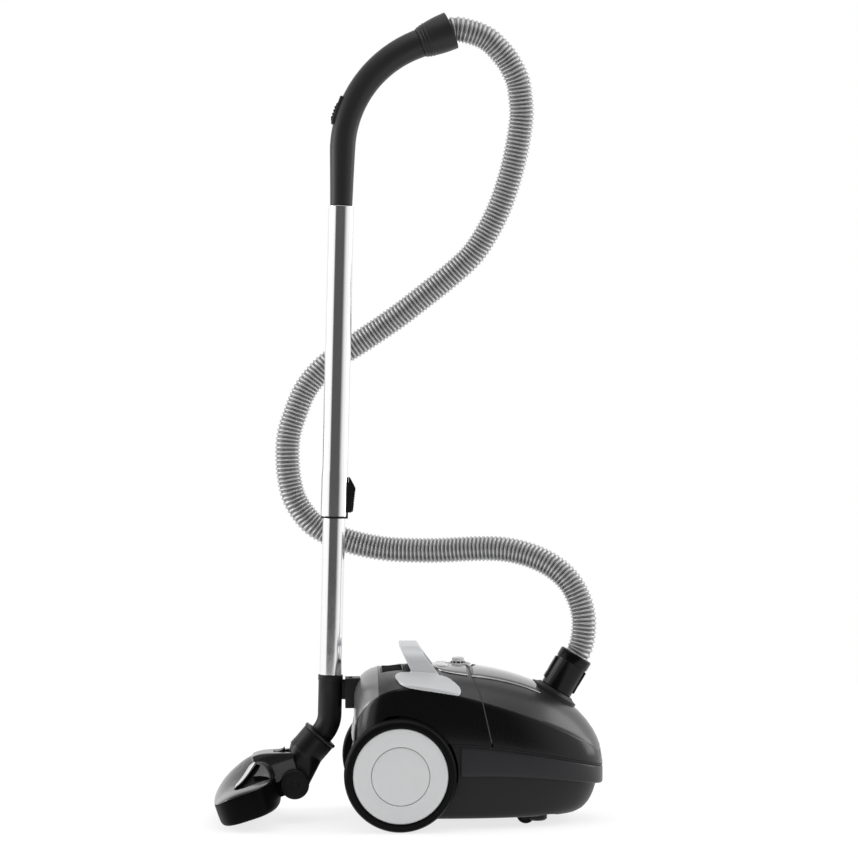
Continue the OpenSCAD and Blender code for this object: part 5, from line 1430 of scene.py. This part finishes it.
def bristle_tree():
    """Tufts of fine bristles at every point of a line."""
    t, i, close = geometry_tree("BristleRow", {
        "Tuft radius": 0.0012, "Bristle radius": 0.0003, "Bristle length": 0.01, "Seed": 4})
    hair = t.add("MeshCylinder", {"Vertices": 5, "Radius": i["Bristle radius"],
                                  "Depth": i["Bristle length"]}).outputs[0]
    spots = t.add("MeshCircle", {"Vertices": 6, "Radius": i["Tuft radius"]}).outputs[0]
    lean = t.add("FunctionNodeRandomValue", {
        "Seed": i["Seed"], "Min": (-0.09, -0.09, 0), "Max": (0.09, 0.09, 3.0)},
        data_type="FLOAT_VECTOR").outputs[0]
    return close(t.on_points(i["Geometry"], t.on_points(spots, hair), Rotation=lean))


def brush_rows():
    carrier = block("brush_carrier", (57.5, -102, -9), (61, 102, -2.8))
    join(carrier, block("row", (91, -102, -9), (94.5, 102, -2.8)),
         block("link", (57.5, 55, -6), (94.5, 65, -2.8)),
         block("link", (57.5, -65, -6), (94.5, -55, -2.8)))
    soften(carrier, 0.4, 2, 40)
    dress(placed(carrier, HEAD), "black_plastic", "bristles", ["bristle_strip"])
    tufts = mesh_object("brush_tufts", [
        (u, y, -12.6) for u in (59.25, 92.75) for y in np.linspace(-100, 100, 72)], [])
    run_tree(tufts, bristle_tree(), {
        "Tuft radius": 0.0011, "Bristle radius": 0.00028, "Bristle length": 0.0078, "Seed": 4,
        "Finish": MATERIALS["soft_rubber"]})
    dress(placed(tufts, HEAD), "soft_rubber", "bristles")


brush_rows()

# ---- bracket, latch, grommet and exhaust ----

dress(rounded_copy("park_bracket", "park_channel", 0.9, 50), "charcoal_plastic", "canister",
      ["park_bracket"])
dress(rounded_copy("hood_latch", "latch_key", 0.5, 50), "dish_silver", "hood_latch",
      ["hood_latch"])
turned_piece("cord_grommet", [
    (4.5, -5), (7.7, -5), (7.7, 0.35), (10.6, 0.4), (11, 0.8), (10.7, 1.8), (9.7, 2.5), (8.2, 2.6),
    (6, 2.6), (5, 2.3), (4.5, 1.6)], frame_at((-70.8, 36, 60), -91.8), "black_plastic", "canister",
    ["cord_outlet"], 64)
GRILLE_X = -24.5


def slat_tree():
    """A lens-shaped slat on every point, its length along X."""
    t, i, close = geometry_tree("SlatRow", {"Length": 0.029, "Thickness": 0.001, "Depth": 0.004})
    slat = t.add("MeshCylinder", {"Vertices": 14, "Radius": 1.0, "Depth": 1.0}).outputs[0]
    slat = t.add("Transform", {"Geometry": slat, "Rotation": (0, pi / 2, 0)}).outputs[0]
    size = t.add("ShaderNodeCombineXYZ", {"X": i["Length"], "Y": i["Thickness"], "Z": i["Depth"]})
    slat = t.add("Transform", {"Geometry": slat, "Scale": size.outputs[0]}).outputs[0]
    return close(t.on_points(i["Geometry"], slat))


def grille_loop(inset, drop):
    """Outline of the exhaust opening, at a depth under the crown."""
    x, y, across = 16.2 - inset, 47.7 - inset, np.linspace(-1, 1, 25)
    run = [(GRILLE_X + x, y * k) for k in across] + [(GRILLE_X - x, y * k) for k in across[::-1]]
    return [(u, v, float(crown_z(u, v)) - drop) for u, v in run]


def exhaust_slats():
    """Frame, middle bar and slats that lie just under the crown."""
    frame_ring = stack("exhaust_frame", [grille_loop(*row) for row in (
        (0, 9), (0, 2.1), (0.5, 1.5), (1.9, 1.5), (2.6, 2.4), (2.6, 9))])
    bar = [(y, float(crown_z(GRILLE_X, y)) - d)
           for y, d in ((-1.4, 8), (1.4, 8), (1.4, 3), (-1.4, 3))]
    join(frame_ring, prism("bar", bar, -39, -10, "X"))
    dress(frame_ring, "black_plastic", "canister", ["exhaust_grille"], angle=40)
    rows = [k * 5.5 for k in range(-8, 9) if k]
    slats = mesh_object("exhaust_slats", [
        (GRILLE_X, y, float(crown_z(GRILLE_X, y)) - 5.2) for y in rows], [])
    run_tree(slats, slat_tree(), {"Length": 0.0276, "Thickness": 0.00095, "Depth": 0.0032,
                                  "Finish": MATERIALS["black_plastic"]})
    dress(slats, "black_plastic", "canister", angle=60)


exhaust_slats()

# ---- castors and underside ----

CASTOR_ROLL = [
    (0, -8), (1.9, -8), (1.9, -5), (5, -5), (5.4, -4.4), (10.2, -4.4), (10.8, -5), (12.2, -4.9),
    (12.8, -4), (13, -2.6), (13, 2.6), (12.8, 4), (12.2, 4.9), (10.8, 5), (10.2, 4.4), (5.4, 4.4),
    (5, 5), (1.9, 5), (1.9, 8), (0, 8)]
for side, tag in SIDES:
    cup = lathe("castor_cup_" + tag, [
        (30.5, 13.6), (32.8, 13.6), (32.8, 34), (0.001, 34), (0.001, 31), (30.5, 31)],
        frame_at((CASTOR_X, side * CASTOR_Y, 0)), 64)
    dress(trim(cup, bowl_solid(0.6, low=13.6, drop=30)), "charcoal_plastic", "canister")
    dress(rounded_copy("castor_fork_" + tag, "castor_yoke_" + tag, 0.6, 50), "black_plastic",
          tag + "_castor", ["castor_fork_" + tag])
    turned_piece("castor_roll_" + tag, CASTOR_ROLL,
                 frame_at((ROLL_X, side * CASTOR_Y, ROLL_R), 90, "X"), "soft_rubber",
                 tag + "_castor_wheel", ["castor_wheel_" + tag], 64)


def screw_tree():
    """Sets a screw head on every point."""
    t, i, close = geometry_tree("ScrewHeads", {"Screw": None})
    head = t.add("ObjectInfo", {"Object": i["Screw"]}).outputs["Geometry"]
    return close(t.on_points(i["Geometry"], head))


def screws():
    """Cross-slotted screws, head down, in the floor of the bowl and in the sole of the head."""
    screw = lathe("screw", [(0, 0.6), (3.6, 0.6), (3.6, -0.3), (3.2, -1.0), (2.2, -1.5),
                            (0, -1.7)], None, 32)
    cut(screw, block("cut", (-0.4, -2, -3), (0.4, 2, -0.7)),
        block("cut", (-2, -0.4, -3), (2, 0.4, -0.7)))
    tree = screw_tree()
    bowl = [(-26, 60), (-26, -60), (72, 80), (72, -80), (222, 0), (120, 0)]
    sole = [(40, 88), (40, -88), (101, 84), (101, -84)]
    for name, body, place, spots, z in (
            ("housing_screws", "canister", Matrix.Identity(4), bowl, BOWL_Z),
            ("head_screws", "head", HEAD, sole, -18)):
        o = mesh_object(name, [(*xy, z) for xy in spots], [])
        run_tree(o, tree, {"Screw": screw, "Finish": MATERIALS["steel"]})
        dress(placed(o, place), "steel", body)
    bpy.data.objects.remove(screw)


screws()

# ---- solids that keep their own shape ----

SLOTS = {s["node"]: s["material_slot"] for s in frame["record"]["subparts"]}
for node, o in frame["nodes"].items():
    if not o.hide_render:
        o.data.materials.clear()
        o.data.materials.append(MATERIALS[SLOTS[node]])
